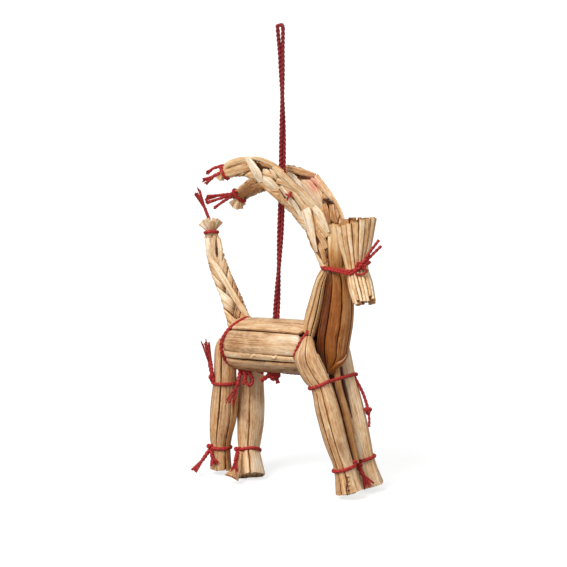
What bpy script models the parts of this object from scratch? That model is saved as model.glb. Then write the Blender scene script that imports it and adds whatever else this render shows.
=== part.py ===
"""Straw goat ornament: bundles and plaits of flattened straw, tied with red cotton thread.

Run with blender --background --python part.py. Metres, +Z up. The goat faces +X, its right side
is -Y, and its hooves stand on z = 0.
"""
import math

import bmesh
import bpy
import numpy as np
from mathutils import Vector

MM = 0.001

# Size of the whole goat, from the hooves to the top of the horns
GOAT_HEIGHT = 119.0 * MM

# A figure's pose and proportions are shares of its height: one share is a 119th of it
SHARE = GOAT_HEIGHT / 119.0

# Thread, hanging cord and the clearance between pieces that touch
THREAD = 1.4 * MM
CORD = 1.4 * MM
CLEARANCE = 0.3 * MM
CORD_REACH = 104.6 * MM
CORD_LOOP_WIDTH = 1.9 * MM
CORD_OPEN_LENGTH = 10.0 * MM
# The cord sways towards the front left by this much at most, over this share of half a wave
CORD_SWAY = (1.6 * SHARE, 1.75 * SHARE)
CORD_SWAY_WAVE = 0.78
# Shares of the cord's reach, and the degrees from +X at which its first run lies there
CORD_TURNS = ((0.0, 0.04, 0.17, 0.31, 0.57, 0.76, 0.93, 1.0), (35, 45, 125, 200, 215, 305, 395, 395))
CORD_RINGS = 52
KNOT = 2.1 * THREAD
FRAYED_END = 1.6 * THREAD
CORD_PIECES = ("hanging_cord", "belly_knot")

# Body: the barrel, from its rump end to its chest end
BODY_LENGTH = 31.6 * SHARE
BODY_DIAMETER = 19.4 * SHARE
BODY_REAR = -24.2 * SHARE
BODY_REAR_HEIGHT = 47.6 * SHARE
BODY_CHEST_HEIGHT = 50.2 * SHARE
BODY_STRAWS = 10
BODY_CHEST = BODY_REAR + BODY_LENGTH

# Legs: widest part, the part behind the rump or in front of the chest, the waist and the hoof
HIND_LEG_WIDTH = 9.0 * SHARE
HIND_LEG_ROOT_DEPTH = 6.6 * SHARE
FRONT_LEG_WIDTH = 8.0 * SHARE
FRONT_LEG_ROOT_DEPTH = 7.0 * SHARE
HOOF_WAIST = 6.8 * SHARE
HOOF_WIDTH = 9.2 * SHARE
LEG_STRAWS = 7

# Neck and head. The neck's root lies a little to the right, by shares
NECK_SIDE = -0.9
NECK_DEPTH = 13.6 * SHARE
NECK_WIDTH = 18.0 * SHARE
NECK_ROOT_WIDTH = 6.0 * SHARE
NECK_WAIST = 8.0 * SHARE
NECK_STRAWS = 9
HEAD_WAIST = 9.2 * SHARE
HEAD_FAN_WIDTH = 14.4 * SHARE
HEAD_MOUTH_WIDTH = 9.4 * SHARE
HEAD_STRAWS = 9
TUFT_WIDTH = 3.6 * SHARE

# Plaits: horns and tail
HORN_WIDTH = 8.4 * SHARE
HORN_TIP_WIDTH = 4.6 * SHARE
HORN_FLATNESS = 0.74
HORN_PLAIT_PITCH = 15.0 * SHARE
HORN_RINGS = 26
TAIL_WIDTH = 7.4 * SHARE
TAIL_TIP_WIDTH = 4.6 * SHARE
TAIL_FLATNESS = 0.66
TAIL_PLAIT_PITCH = 12.5 * SHARE
TAIL_RINGS = 18

# Loose round stem between the front legs
STEM_WIDTH = 2.6 * SHARE
STEM_SIDES = 8

# The thread round the rump slants forward under the belly by this share of the drop
RUMP_RING_SLANT = 0.3

# Straw surfaces: how deep the groove between two straws is, as a share of the bundle's radius
GROOVE = 0.13
SIDE_POINTS = 3
THREAD_SIDES = 5


def remove_everything():
    """Empties the file that the script starts in."""
    for item in list(bpy.data.objects):
        bpy.data.objects.remove(item, do_unlink=True)


def material(name, colour, roughness):
    """Principled material with one colour, as red, green, blue."""
    made = bpy.data.materials.new(name)
    made.use_nodes = True
    shader = made.node_tree.nodes["Principled BSDF"]
    shader.inputs["Base Color"].default_value = (*colour, 1.0)
    shader.inputs["Roughness"].default_value = roughness
    shader.inputs["Metallic"].default_value = 0.0
    return made


def spline(rows, count):
    """Smooth curve through rows of numbers, as evenly spaced rows. The first three are the place."""
    rows = np.array(rows, float)
    ends = np.vstack([2 * rows[0] - rows[1], rows, 2 * rows[-1] - rows[-2]])
    fine = []
    for first in range(len(rows) - 1):
        before, start, end, after = ends[first:first + 4]
        for t in np.linspace(0.0, 1.0, 24, endpoint=False):
            bend = (2 * before - 5 * start + 4 * end - after) * t ** 2
            ease = (3 * start - before - 3 * end + after) * t ** 3
            fine.append(0.5 * (2 * start + (end - before) * t + bend + ease))
    fine.append(rows[-1])
    fine = np.array(fine)
    steps = np.linalg.norm(np.diff(fine[:, :3], axis=0), axis=1)
    run = np.concatenate([[0.0], np.cumsum(steps)])
    even = np.linspace(0.0, run[-1], count)
    return np.column_stack([np.interp(even, run, column) for column in fine.T])


def frames(rows, across):
    """Centre, sideways, depth and forward directions at each row of a path."""
    places = [Vector(row[:3]) for row in rows]
    made = []
    for index, place in enumerate(places):
        ahead = places[min(index + 1, len(places) - 1)]
        behind = places[max(index - 1, 0)]
        forward = (ahead - behind).normalized()
        sideways = (Vector(across) - forward * forward.dot(Vector(across))).normalized()
        made.append((place, sideways, forward.cross(sideways), forward))
    return made


def mesh_object(name, rings, finish, closed=False):
    """Closed solid lofted through rings of equal count, with its ends fanned shut."""
    mesh = bpy.data.meshes.new(name)
    build = bmesh.new()
    loops = [[build.verts.new(point) for point in ring] for ring in rings]
    pairs = list(zip(loops, loops[1:]))
    if closed:
        pairs.append((loops[-1], loops[0]))
    count = len(loops[0])
    for low, high in pairs:
        for side in range(count):
            following = (side + 1) % count
            build.faces.new((low[side], low[following], high[following], high[side]))
    if not closed:
        for loop in (loops[0], loops[-1]):
            middle = build.verts.new(sum((vert.co for vert in loop), Vector()) / count)
            for side in range(count):
                build.faces.new((loop[side], loop[(side + 1) % count], middle))
    bmesh.ops.triangulate(build, faces=build.faces[:])
    bmesh.ops.recalc_face_normals(build, faces=build.faces[:])
    build.to_mesh(mesh)
    build.free()
    mesh.shade_smooth()
    mesh.set_sharp_from_angle(angle=math.radians(28))
    mesh.materials.append(finish)
    made = bpy.data.objects.new(name, mesh)
    bpy.context.scene.collection.objects.link(made)
    return made


class Bundle:
    """Straws side by side round a smooth path, with an oval outline at each station.

    A station is (x, y, z, half across, half deep). The outline's high points lie on the oval, and
    the grooves between the straws are cut into it.
    """

    def __init__(self, name, stations, straws, finish, across=(0, 1, 0), rings=12, floor=None):
        self.rows = spline(stations, rings)
        self.frames = frames(self.rows, across)
        outline = []
        for (place, sideways, deep, _), row in zip(self.frames, self.rows):
            ring = []
            for point in range(straws * SIDE_POINTS):
                angle = 2 * math.pi * (point + 0.5) / (straws * SIDE_POINTS)
                reach = 1.0 - GROOVE if point % SIDE_POINTS == 0 else 1.0
                offset = sideways * (row[3] * math.cos(angle)) + deep * (row[4] * math.sin(angle))
                ring.append(place + offset * reach)
            outline.append(ring)
        if floor is not None:
            forward = self.frames[-1][3]
            outline[-1] = [point + forward * ((floor - point.z) / forward.z) for point in outline[-1]]
        self.object = mesh_object(name, outline, finish)

    def section(self, height):
        """Oval at a height: its centre and its two half-axis vectors."""
        nearest = min(range(len(self.rows)), key=lambda index: abs(self.rows[index][2] - height))
        other = nearest + 1 if nearest + 1 < len(self.rows) else nearest - 1
        low, high = self.rows[nearest], self.rows[other]
        step = (height - low[2]) / (high[2] - low[2])
        row = low + (high - low) * step
        _, sideways, deep, _ = self.frames[nearest]
        return Vector(row[:3]), sideways * row[3], deep * row[4]


class Plait:
    """Three-strand plait as one solid: the outer envelope of three strands that weave."""

    def __init__(self, name, stations, pitch, flatness, finish, across, rings, sides=12):
        self.rows = spline(stations, rings)
        self.frames = frames(self.rows, across)
        length = sum(
            np.linalg.norm(after[:3] - before[:3]) for before, after in zip(self.rows, self.rows[1:])
        )
        outline = []
        for index, ((place, sideways, deep, _), row) in enumerate(zip(self.frames, self.rows)):
            turn = 2 * math.pi * length * index / (rings - 1) / pitch
            half = row[3]
            ring = []
            for side in range(sides):
                angle = 2 * math.pi * side / sides
                reach = self.envelope(angle, turn, half, half * flatness)
                ring.append(place + sideways * (reach * math.cos(angle)) + deep * (reach * math.sin(angle)))
            outline.append(ring)
        self.object = mesh_object(name, outline, finish)

    @staticmethod
    def envelope(angle, turn, half_width, half_depth):
        """Distance from the plait's middle to its skin in one direction of the section."""
        strand_wide = 0.52 * half_width
        strand_deep = 0.50 * half_depth
        direction = (math.cos(angle), math.sin(angle))
        farthest = 0.45 * half_depth
        for strand in range(3):
            phase = turn + 2 * math.pi * strand / 3
            centre = (
                (half_width - strand_wide) * math.sin(phase),
                (half_depth - strand_deep) * math.sin(2 * phase),
            )
            a = (direction[0] / strand_wide) ** 2 + (direction[1] / strand_deep) ** 2
            b = direction[0] * centre[0] / strand_wide ** 2 + direction[1] * centre[1] / strand_deep ** 2
            c = (centre[0] / strand_wide) ** 2 + (centre[1] / strand_deep) ** 2 - 1.0
            inside = b * b - a * c
            if inside > 0.0:
                farthest = max(farthest, (b + math.sqrt(inside)) / a)
        return farthest

    def section(self, share):
        """Oval at a share of the length: its centre and its two half-axis vectors."""
        index = round(share * (len(self.rows) - 1))
        place, sideways, deep, _ = self.frames[index]
        half = self.rows[index][3]
        return place, sideways * half, deep * half


def around(sections, first, second, gap, count=15):
    """Closed path that wraps ovals tightly, with a gap. The two directions span its plane."""
    first, second = Vector(first).normalized(), Vector(second).normalized()
    path = []
    for step in range(count):
        angle = 2 * math.pi * step / count
        outward = first * math.cos(angle) + second * math.sin(angle)
        best = None
        for centre, half_one, half_two in sections:
            one, two = half_one.dot(outward), half_two.dot(outward)
            reach = math.hypot(one, two)
            place = centre + (half_one * one + half_two * two) / reach
            far = centre.dot(outward) + reach
            if best is None or far > best[0]:
                best = (far, place + outward * gap)
        path.append(best[1])
    return path


def tube_rings(path, radii, sides, closed=False):
    """Rings of a round tube along a path, turned as little as possible from one to the next."""
    count = len(path)
    middle = sum(path, Vector()) / count
    rings = []
    lead = (path[1] - path[0]).orthogonal()
    for index, place in enumerate(path):
        ahead = path[(index + 1) % count] if closed or index + 1 < count else place
        behind = path[index - 1] if closed or index > 0 else place
        forward = (ahead - behind).normalized()
        if closed:
            lead = middle - place
        lead = (lead - forward * forward.dot(lead)).normalized()
        side = forward.cross(lead)
        rings.append([
            place + (lead * math.cos(angle) + side * math.sin(angle)) * radii[index]
            for angle in (2 * math.pi * step / sides for step in range(sides))
        ])
    return rings


def thread_tail(name, points, finish):
    """Loose end of thread that frays out at its tip."""
    rows = spline(points, 1 + len(points))
    path = [Vector(row) for row in rows]
    radii = [THREAD / 2] * len(path)
    radii[-1] = FRAYED_END / 2
    return mesh_object(name, tube_rings(path, radii, THREAD_SIDES), finish)


def knot_ball(name, place, finish, size=KNOT):
    """Small rounded knot."""
    mesh = bpy.data.meshes.new(name)
    build = bmesh.new()
    bmesh.ops.create_uvsphere(build, u_segments=6, v_segments=4, radius=size / 2)
    bmesh.ops.triangulate(build, faces=build.faces[:])
    bmesh.ops.translate(build, verts=build.verts[:], vec=place)
    build.to_mesh(mesh)
    build.free()
    mesh.materials.append(finish)
    made = bpy.data.objects.new(name, mesh)
    bpy.context.scene.collection.objects.link(made)
    return made


def unite(target, additions):
    """Boolean union of the additions into the target, which then stands alone."""
    for index, addition in enumerate(additions):
        union = target.modifiers.new("union_" + str(index), "BOOLEAN")
        union.operation = "UNION"
        union.solver = "EXACT"
        union.object = addition
        addition.hide_render = True
        addition.display_type = "WIRE"
    return target


def tie(name, path, finish, knot=None, tails=()):
    """Ring of thread with a knot and its loose ends, as one solid."""
    radii = [THREAD / 2] * len(path)
    ring = mesh_object(name, tube_rings(path, radii, THREAD_SIDES, closed=True), finish, closed=True)
    additions = []
    if knot is not None:
        additions.append(knot_ball(name + "_knot", knot, finish))
        for index, points in enumerate(tails):
            tail_points = [tuple(knot)] + [tuple(point) for point in points]
            additions.append(thread_tail(name + "_tail_" + str(index), tail_points, finish))
    return unite(ring, additions)


def chest(x, y, z):
    """Place measured forward from the body's chest end."""
    return np.array([BODY_CHEST + x * SHARE, y * SHARE, z * SHARE])


def rump(x, y, z):
    """Place measured back from the body's rump end."""
    return np.array([BODY_REAR - x * SHARE, y * SHARE, z * SHARE])


def station(place, across, deep):
    """Row of a bundle's path: its place and its two full widths, halved."""
    return (*place, across / 2, deep / 2)


def body_slope():
    """How much the body's middle line rises for each metre forward."""
    return (BODY_CHEST_HEIGHT - BODY_REAR_HEIGHT) / BODY_LENGTH


def body_axis(x):
    """Height of the body's middle line at a place along it."""
    return BODY_REAR_HEIGHT + body_slope() * (x - BODY_REAR)


def end_lean():
    """How far the sloping body's end faces reach past the ends of its middle line."""
    return body_slope() * BODY_DIAMETER / 2


def make_body(finish):
    """Barrel of flat straws with rounded ends."""
    rounding = ((0.0, 0.80), (0.05, 0.95), (0.12, 1.0), (0.5, 1.02), (0.88, 1.0), (0.95, 0.95), (1.0, 0.84))
    stations = []
    for share, width in rounding:
        x = BODY_REAR + share * BODY_LENGTH
        stations.append((x, 0.0, body_axis(x), width * BODY_DIAMETER / 2, width * BODY_DIAMETER / 2))
    return Bundle("body_bundle", stations, BODY_STRAWS, finish, rings=9)


def make_hind_legs(finish):
    """Two legs that stand behind the rump and cross a little towards the viewer's side."""
    root_x = (end_lean() + CLEARANCE + HIND_LEG_ROOT_DEPTH / 2) / SHARE
    root_y = HIND_LEG_WIDTH / SHARE / 2 + 0.3
    wide = HIND_LEG_WIDTH
    # Knee, shin, hoof's waist and sole of the right leg, in shares back from the rump
    right_way = ((4.1, -4.9, 34.0), (4.8, -4.5, 20.0), (6.6, -4.4, 9.4), (7.0, -4.4, 0.0))
    # How far the left leg is from the right one there, in leg widths
    apart = ((-0.60, 1.13), (-0.94, 0.70), (-1.27, 0.36), (-1.42, 0.12))
    left_way = [
        (x + back * wide / SHARE, y + beside * wide / SHARE, z)
        for (x, y, z), (back, beside) in zip(right_way, apart)
    ]
    legs = []
    for name, side, way in (("hind_leg_right", -1, right_way), ("hind_leg_left", 1, left_way)):
        knee, shin, waist, sole = way
        stations = [
            station(rump(root_x, side * root_y, 50.6), 0.6 * wide, 0.6 * HIND_LEG_ROOT_DEPTH),
            station(rump(root_x, side * root_y, 48.0), 0.92 * wide, 0.94 * HIND_LEG_ROOT_DEPTH),
            station(rump(root_x + 0.3, side * root_y, 42.0), wide, HIND_LEG_ROOT_DEPTH),
            station(rump(*knee), wide, 0.94 * wide),
            station(rump(*shin), wide, 0.96 * wide),
            station(rump(*waist), HOOF_WAIST, HOOF_WAIST),
            station(rump(*sole), HOOF_WIDTH, HOOF_WIDTH),
        ]
        legs.append(Bundle(name, stations, LEG_STRAWS, finish, rings=11, floor=0.0))
    return legs


def make_front_legs(finish):
    """Two legs in front of the chest, one on each side of the neck's root."""
    root_x = (end_lean() + CLEARANCE + FRONT_LEG_ROOT_DEPTH / 2) / SHARE
    wide = FRONT_LEG_WIDTH
    apart = (NECK_ROOT_WIDTH + wide) / SHARE / 2 + CLEARANCE / SHARE + 0.1
    gap = (STEM_WIDTH + 2 * CLEARANCE + wide) / SHARE
    # Sideways places of the root, knee, shin, hoof's waist and sole, in shares
    right_y = (NECK_SIDE - apart, -8.3, -7.9, -7.0, -6.5)
    more = (1.2, 0.9, 1.3, 1.9)
    left_y = (NECK_SIDE + apart, *(right + gap + extra for right, extra in zip(right_y[1:], more)))
    legs = []
    for name, depth, ways in (
        ("front_leg_right", (0.9, 9.2, 14.0, 17.9, 19.6), right_y),
        ("front_leg_left", (0.9, 11.0, 16.1, 19.8, 21.2), left_y),
    ):
        stations = [
            station(chest(root_x, ways[0], 55.4), 0.62 * wide, 0.6 * FRONT_LEG_ROOT_DEPTH),
            station(chest(root_x + 0.1, ways[0], 53.0), 0.95 * wide, 0.94 * FRONT_LEG_ROOT_DEPTH),
            station(chest(root_x + depth[0], ways[0], 48.5), wide, FRONT_LEG_ROOT_DEPTH),
            station(chest(depth[1], ways[1], 39.4), 0.94 * wide, 0.94 * wide),
            station(chest(depth[2], ways[2], 24.0), wide, 1.02 * wide),
            station(chest(depth[3], ways[3], 10.6), HOOF_WAIST, HOOF_WAIST),
            station(chest(depth[4], ways[4], 0.0), HOOF_WIDTH, HOOF_WIDTH),
        ]
        legs.append(Bundle(name, stations, LEG_STRAWS, finish, rings=11, floor=0.0))
    return legs


def make_neck(finish):
    """Broad neck and chest that ends in a point between the front legs, with a short tuft above."""
    root, deep, wide, waist = NECK_ROOT_WIDTH, NECK_DEPTH, NECK_WIDTH, NECK_WAIST
    stations = [
        station(chest(8.6, NECK_SIDE, 44.2), 0.3 * root, 0.3 * root),
        station(chest(8.8, NECK_SIDE, 47.5), 0.72 * root, 0.42 * deep),
        station(chest(9.0, NECK_SIDE, 52.0), 0.96 * root, 0.66 * deep),
        station(chest(8.4, NECK_SIDE, 56.6), root, 0.80 * deep),
        station(chest(8.3, -1.0, 59.6), 0.78 * wide, 0.96 * deep),
        station(chest(8.6, -1.0, 63.5), wide, deep),
        station(chest(8.9, -1.0, 68.6), 0.93 * wide, 0.95 * deep),
        station(chest(9.6, -1.4, 75.0), 0.66 * wide, 0.76 * deep),
        station(chest(10.2, -1.9, 80.0), waist, waist),
        station(chest(11.0, -2.0, 82.3), 0.72 * waist, 0.72 * waist),
        station(chest(12.0, -2.4, 84.8), TUFT_WIDTH, TUFT_WIDTH),
        station(chest(11.8, -2.6, 89.0), TUFT_WIDTH, TUFT_WIDTH),
        station(chest(11.3, -2.7, 94.5), 1.1 * TUFT_WIDTH, 1.1 * TUFT_WIDTH),
    ]
    return Bundle("neck_bundle", stations, NECK_STRAWS, finish, rings=15)


def make_head(finish):
    """Muzzle and forelock: a bundle with a fan of cut straws above and cut ends below."""
    forward = 10.2 + NECK_WAIST / SHARE / 2 + HEAD_WAIST / SHARE / 2 + CLEARANCE / SHARE + 0.2
    stations = [
        station(chest(forward + 4.6, -1.7, 69.4), HEAD_MOUTH_WIDTH, HEAD_MOUTH_WIDTH),
        station(chest(forward + 2.4, -1.7, 75.2), 1.04 * HEAD_MOUTH_WIDTH, HEAD_MOUTH_WIDTH),
        station(chest(forward, -1.8, 81.6), HEAD_WAIST, HEAD_WAIST),
        station(chest(forward + 0.3, -1.8, 89.0), 0.86 * HEAD_FAN_WIDTH, 0.72 * HEAD_FAN_WIDTH),
        station(chest(forward + 0.9, -2.0, 97.6), HEAD_FAN_WIDTH, 0.88 * HEAD_FAN_WIDTH),
    ]
    return Bundle("head_bundle", stations, HEAD_STRAWS, finish, rings=11)


def make_horns(finish):
    """Two plaits that sweep up and back over the body."""
    right = [
        (*chest(6.6, -3.6, 84.6), 0.40 * HORN_WIDTH),
        (*chest(4.0, -3.0, 89.5), 0.48 * HORN_WIDTH),
        (*chest(0.5, -2.5, 94.4), 0.50 * HORN_WIDTH),
        (*chest(-4.4, -2.6, 100.4), 0.50 * HORN_WIDTH),
        (*chest(-10.4, -4.8, 107.4), 0.50 * HORN_WIDTH),
        (*chest(-16.9, -5.9, 112.6), 0.48 * HORN_WIDTH),
        (*chest(-23.8, -6.4, 114.8), 0.45 * HORN_WIDTH),
        (*chest(-29.5, -6.9, 113.2), 0.40 * HORN_WIDTH),
        (*chest(-33.8, -7.8, 110.6), 0.50 * HORN_TIP_WIDTH),
        (*chest(-36.2, -8.0, 108.6), 0.62 * HORN_TIP_WIDTH),
    ]
    left = [
        (*chest(7.4, 3.0, 84.8), 0.38 * HORN_WIDTH),
        (*chest(7.0, 4.4, 90.0), 0.44 * HORN_WIDTH),
        (*chest(4.9, 6.0, 95.7), 0.48 * HORN_WIDTH),
        (*chest(1.5, 7.3, 101.2), 0.50 * HORN_WIDTH),
        (*chest(-4.0, 8.4, 106.6), 0.50 * HORN_WIDTH),
        (*chest(-11.2, 8.5, 110.2), 0.50 * HORN_WIDTH),
        (*chest(-17.9, 7.3, 110.2), 0.48 * HORN_WIDTH),
        (*chest(-24.5, 6.0, 107.6), 0.45 * HORN_WIDTH),
        (*chest(-30.7, 4.8, 104.2), 0.38 * HORN_WIDTH),
        (*chest(-34.9, 3.9, 101.1), 0.50 * HORN_TIP_WIDTH),
        (*chest(-37.3, 3.9, 98.0), 0.62 * HORN_TIP_WIDTH),
    ]
    return [
        Plait("horn_right", right, HORN_PLAIT_PITCH, HORN_FLATNESS, finish, (0.5, 0, 1), HORN_RINGS),
        Plait("horn_left", left, HORN_PLAIT_PITCH, HORN_FLATNESS, finish, (0.5, 0, 1), HORN_RINGS),
    ]


def make_tail(finish):
    """Plait that stands up behind the rump and fans out at its tip."""
    back = (end_lean() + CLEARANCE + TAIL_FLATNESS * TAIL_WIDTH / 2) / SHARE
    path = [
        (*rump(back, 2.0, 53.6), 0.42 * TAIL_WIDTH),
        (*rump(back + 0.7, 2.0, 59.5), 0.50 * TAIL_WIDTH),
        (*rump(back + 2.6, 1.8, 64.2), 0.50 * TAIL_WIDTH),
        (*rump(back + 4.8, 1.5, 69.4), 0.48 * TAIL_WIDTH),
        (*rump(back + 7.4, 1.0, 76.7), 0.43 * TAIL_WIDTH),
        (*rump(back + 9.0, 0.6, 82.6), 0.38 * TAIL_WIDTH),
        (*rump(back + 9.7, 0.4, 87.6), 0.50 * TAIL_TIP_WIDTH),
        (*rump(back + 9.8, 0.3, 91.6), 0.68 * TAIL_TIP_WIDTH),
    ]
    return Plait("tail", path, TAIL_PLAIT_PITCH, TAIL_FLATNESS, finish, (1, 0, 0.4), TAIL_RINGS, sides=10)


def make_stem(leg, finish):
    """Thin round stem that runs down beside the left front leg, from the neck's point."""
    path = []
    for height, forward in ((43.2, 0.6), (39.0, 0.4), (30.0, 0.8), (20.0, 1.2), (11.6, 1.4)):
        centre, sideways, _ = leg.section(height * SHARE)
        beside = sideways.length + CLEARANCE + THREAD + STEM_WIDTH / 2
        path.append(centre + Vector((forward * SHARE, -beside, 0.0)))
    path = [Vector(row) for row in spline([tuple(point) for point in path], 9)]
    radii = [STEM_WIDTH / 2] * len(path)
    mesh_object("loose_stem", tube_rings(path, radii, STEM_SIDES), finish)


def make_ties(hind_legs, front_legs, neck, head, horns, tail, finish):
    """Threads round the bundles, each with its knot and loose ends."""
    gap = CLEARANCE + THREAD / 2
    half = BODY_DIAMETER / 2

    def barrel_at(x):
        return [(Vector((x, 0.0, body_axis(x))), Vector((0, half, 0)), Vector((0, 0, half)))]

    def level(*legs, height):
        return [leg.section(height * SHARE) for leg in legs]

    rump_x = BODY_REAR + 1.6 * SHARE
    rump_path = around(barrel_at(rump_x), (0, 1, 0), (0, 0, 1), gap, count=18)
    for point in rump_path:
        point.x += RUMP_RING_SLANT * max(0.0, body_axis(rump_x) - point.z)
    lowest = min(rump_path, key=lambda point: point.z + 0.3 * point.y)
    rump_knot = lowest + Vector((0.0, 0.0, -0.5 * THREAD))
    tie("rump_tie", rump_path, finish, rump_knot, [
        [rump_knot + Vector((2.4, -0.8, -0.8)) * SHARE, rump_knot + Vector((4.6, -1.2, -0.8)) * SHARE],
        [rump_knot + Vector((1.6, -3.6, -3.4)) * SHARE, rump_knot + Vector((0.6, -5.6, -9.0)) * SHARE],
    ])

    shoulder_x = BODY_CHEST - 1.4 * SHARE
    tie("shoulder_tie", around(barrel_at(shoulder_x), (0, 1, 0), (0, 0, 1), gap, count=18), finish)

    knee = level(hind_legs[0], height=33.0)
    knee_path = around(knee, knee[0][2], knee[0][1], gap)
    knee_knot = min(knee_path, key=lambda point: point.x) + Vector((-0.4 * THREAD, 0.0, 0.2 * THREAD))
    tie("hind_knee_tie", knee_path, finish, knee_knot, [
        [knee_knot + Vector((-1.0, -0.4, 6.0)) * SHARE, knee_knot + Vector((-2.6, -0.6, 13.4)) * SHARE],
    ])

    knees = level(*front_legs, height=38.6)
    front_path = around(knees, (1, 0, 0.2), (0, 1, 0), gap, count=20)
    knee_end = max(front_path, key=lambda point: point.y + 0.6 * point.x)
    front_knot = knee_end + Vector((0.5, 0.5, 0.0)) * THREAD
    tie("front_knee_tie", front_path, finish, front_knot, [
        [front_knot + Vector((1.6, 1.0, -5.0)) * SHARE, front_knot + Vector((2.8, 1.4, -10.5)) * SHARE,
         front_knot + Vector((3.2, 1.6, -17.0)) * SHARE],
    ])

    for name, leg, height, toward, fall in (
        ("hind_hoof_tie_right", hind_legs[0], 9.4, (-0.8, -0.6, 0), (-6.0, -2.8, -5.0)),
        ("hind_hoof_tie_left", hind_legs[1], 9.4, (0.3, -1.0, 0), (-0.6, -3.4, -6.2)),
        ("front_hoof_tie_right", front_legs[0], 10.6, (-0.7, -0.7, 0), (-1.6, -2.4, -4.6)),
        ("front_hoof_tie_left", front_legs[1], 10.6, (0.9, 0.5, 0), (3.8, 2.2, -5.0)),
    ):
        waist = level(leg, height=height)
        path = around(waist, waist[0][2], waist[0][1], gap)
        aim = Vector(toward).normalized()
        knot = max(path, key=lambda point: point.dot(aim)) + aim * 0.5 * THREAD
        tie(name, path, finish, knot, [[knot + Vector(fall) * SHARE * 0.5, knot + Vector(fall) * SHARE]])

    waists = [neck.section(80.0 * SHARE), head.section(81.6 * SHARE)]
    head_path = around(waists, (1, 0, 0), (0, 1, 0), gap, count=20)
    aim = Vector((0.7, -0.8, 0)).normalized()
    head_knot = max(head_path, key=lambda point: point.dot(aim)) + aim * 0.5 * THREAD
    tie("head_tie", head_path, finish, head_knot, [
        [head_knot + Vector((2.6, -0.8, 3.0)) * SHARE, head_knot + Vector((5.0, -0.4, 7.4)) * SHARE],
        [head_knot + Vector((2.8, 0.6, 1.6)) * SHARE, head_knot + Vector((6.2, 1.8, 4.6)) * SHARE],
    ])

    for name, plait, share, ends in (
        ("horn_tie_right", horns[0], 0.965, ((-4.6, -1.8, 1.0), (-4.6, -1.6, -1.8))),
        ("horn_tie_left", horns[1], 0.96, ((-7.0, -2.4, 1.2), (-6.0, -2.0, -2.2))),
        ("tail_tie", tail, 0.90, ((-3.0, -2.2, 8.6),)),
    ):
        centre, one, two = plait.section(share)
        path = around([(centre, one, two)], one, two, gap, count=14)
        aim = Vector((-0.4, -0.9, 0.1)).normalized()
        knot = max(path, key=lambda point: point.dot(aim)) + aim * 0.5 * THREAD
        tails = [[knot + Vector(end) * SHARE * 0.5, knot + Vector(end) * SHARE] for end in ends]
        tie(name, path, finish, knot, tails)


def cord_middle(foot, reached):
    """Middle line of the doubled cord at a share of its reach."""
    sway = math.sin(CORD_SWAY_WAVE * math.pi * reached)
    return foot + Vector((CORD_SWAY[0] * sway, CORD_SWAY[1] * sway, reached * CORD_REACH))


def cord_side(reached):
    """Direction from the cord's middle line to its first run at a share of its reach."""
    angle = math.radians(np.interp(reached, *CORD_TURNS))
    return Vector((math.cos(angle), math.sin(angle), 0.0))


def make_cord(finish):
    """Hanging cord: one length that goes up from the back, round a narrow loop and back down.

    The two runs turn round each other, a clearance apart. A knot under the belly holds them.
    """
    foot_x = BODY_REAR + 0.497 * BODY_LENGTH
    foot = Vector((foot_x, 0.0, body_axis(foot_x) + 1.02 * BODY_DIAMETER / 2 + CLEARANCE))
    apart = CORD + CLEARANCE
    loop = CORD_LOOP_WIDTH / 2
    first_run = []
    second_run = []
    for reached in np.linspace(0.0, 1.0 - CORD_OPEN_LENGTH / CORD_REACH, 25):
        middle, out = cord_middle(foot, reached), cord_side(reached)
        first_run.append(middle + out * apart / 2)
        second_run.append(middle - out * apart / 2)
    out = cord_side(1.0)
    centre = cord_middle(foot, 1.0 - loop / CORD_REACH)
    bow = [
        centre + out * loop * math.cos(angle) + Vector((0, 0, loop * math.sin(angle)))
        for angle in np.linspace(0.0, math.pi, 7)
    ]
    route = first_run + bow + second_run[::-1]
    points = spline([tuple(point) for point in route], CORD_RINGS)
    curve = bpy.data.curves.new("hanging_cord", "CURVE")
    curve.dimensions = "3D"
    curve.bevel_depth = CORD / 2
    curve.bevel_resolution = 2
    curve.use_fill_caps = True
    line = curve.splines.new("POLY")
    line.points.add(len(points) - 1)
    for point, place in zip(line.points, points):
        point.co = (*place, 1.0)
    curve.materials.append(finish)
    bpy.context.scene.collection.objects.link(bpy.data.objects.new("hanging_cord", curve))

    knot_size = 1.25 * KNOT
    below = 1.02 * BODY_DIAMETER / 2 + CLEARANCE + knot_size / 2
    belly = Vector((foot_x, -1.6 * SHARE, body_axis(foot_x) - below))
    knot = knot_ball("belly_knot", belly, finish, size=knot_size)
    ends = [
        thread_tail("belly_end_" + str(index), [tuple(belly), tuple(belly + Vector(reach) * SHARE)], finish)
        for index, reach in enumerate(((-3.0, -0.8, -3.0), (2.4, -0.2, -3.6)))
    ]
    unite(knot, ends)


def stand_at_origin():
    """Moves the goat so that the middle of its box, without the cord, is over the origin."""
    bpy.context.view_layer.update()
    graph = bpy.context.evaluated_depsgraph_get()
    goat = bpy.data.objects.new("goat", None)
    pieces = list(bpy.context.scene.collection.objects)
    bpy.context.scene.collection.objects.link(goat)
    corners = []
    for piece in pieces:
        piece.parent = goat
        if not piece.hide_render and piece.name not in CORD_PIECES:
            box = piece.evaluated_get(graph).bound_box
            corners += [piece.matrix_world @ Vector(corner) for corner in box]
    across = [[corner[k] for corner in corners] for k in (0, 1)]
    middle = [(min(places) + max(places)) / 2 for places in across]
    goat.location = (-middle[0], -middle[1], 0.0)


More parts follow.
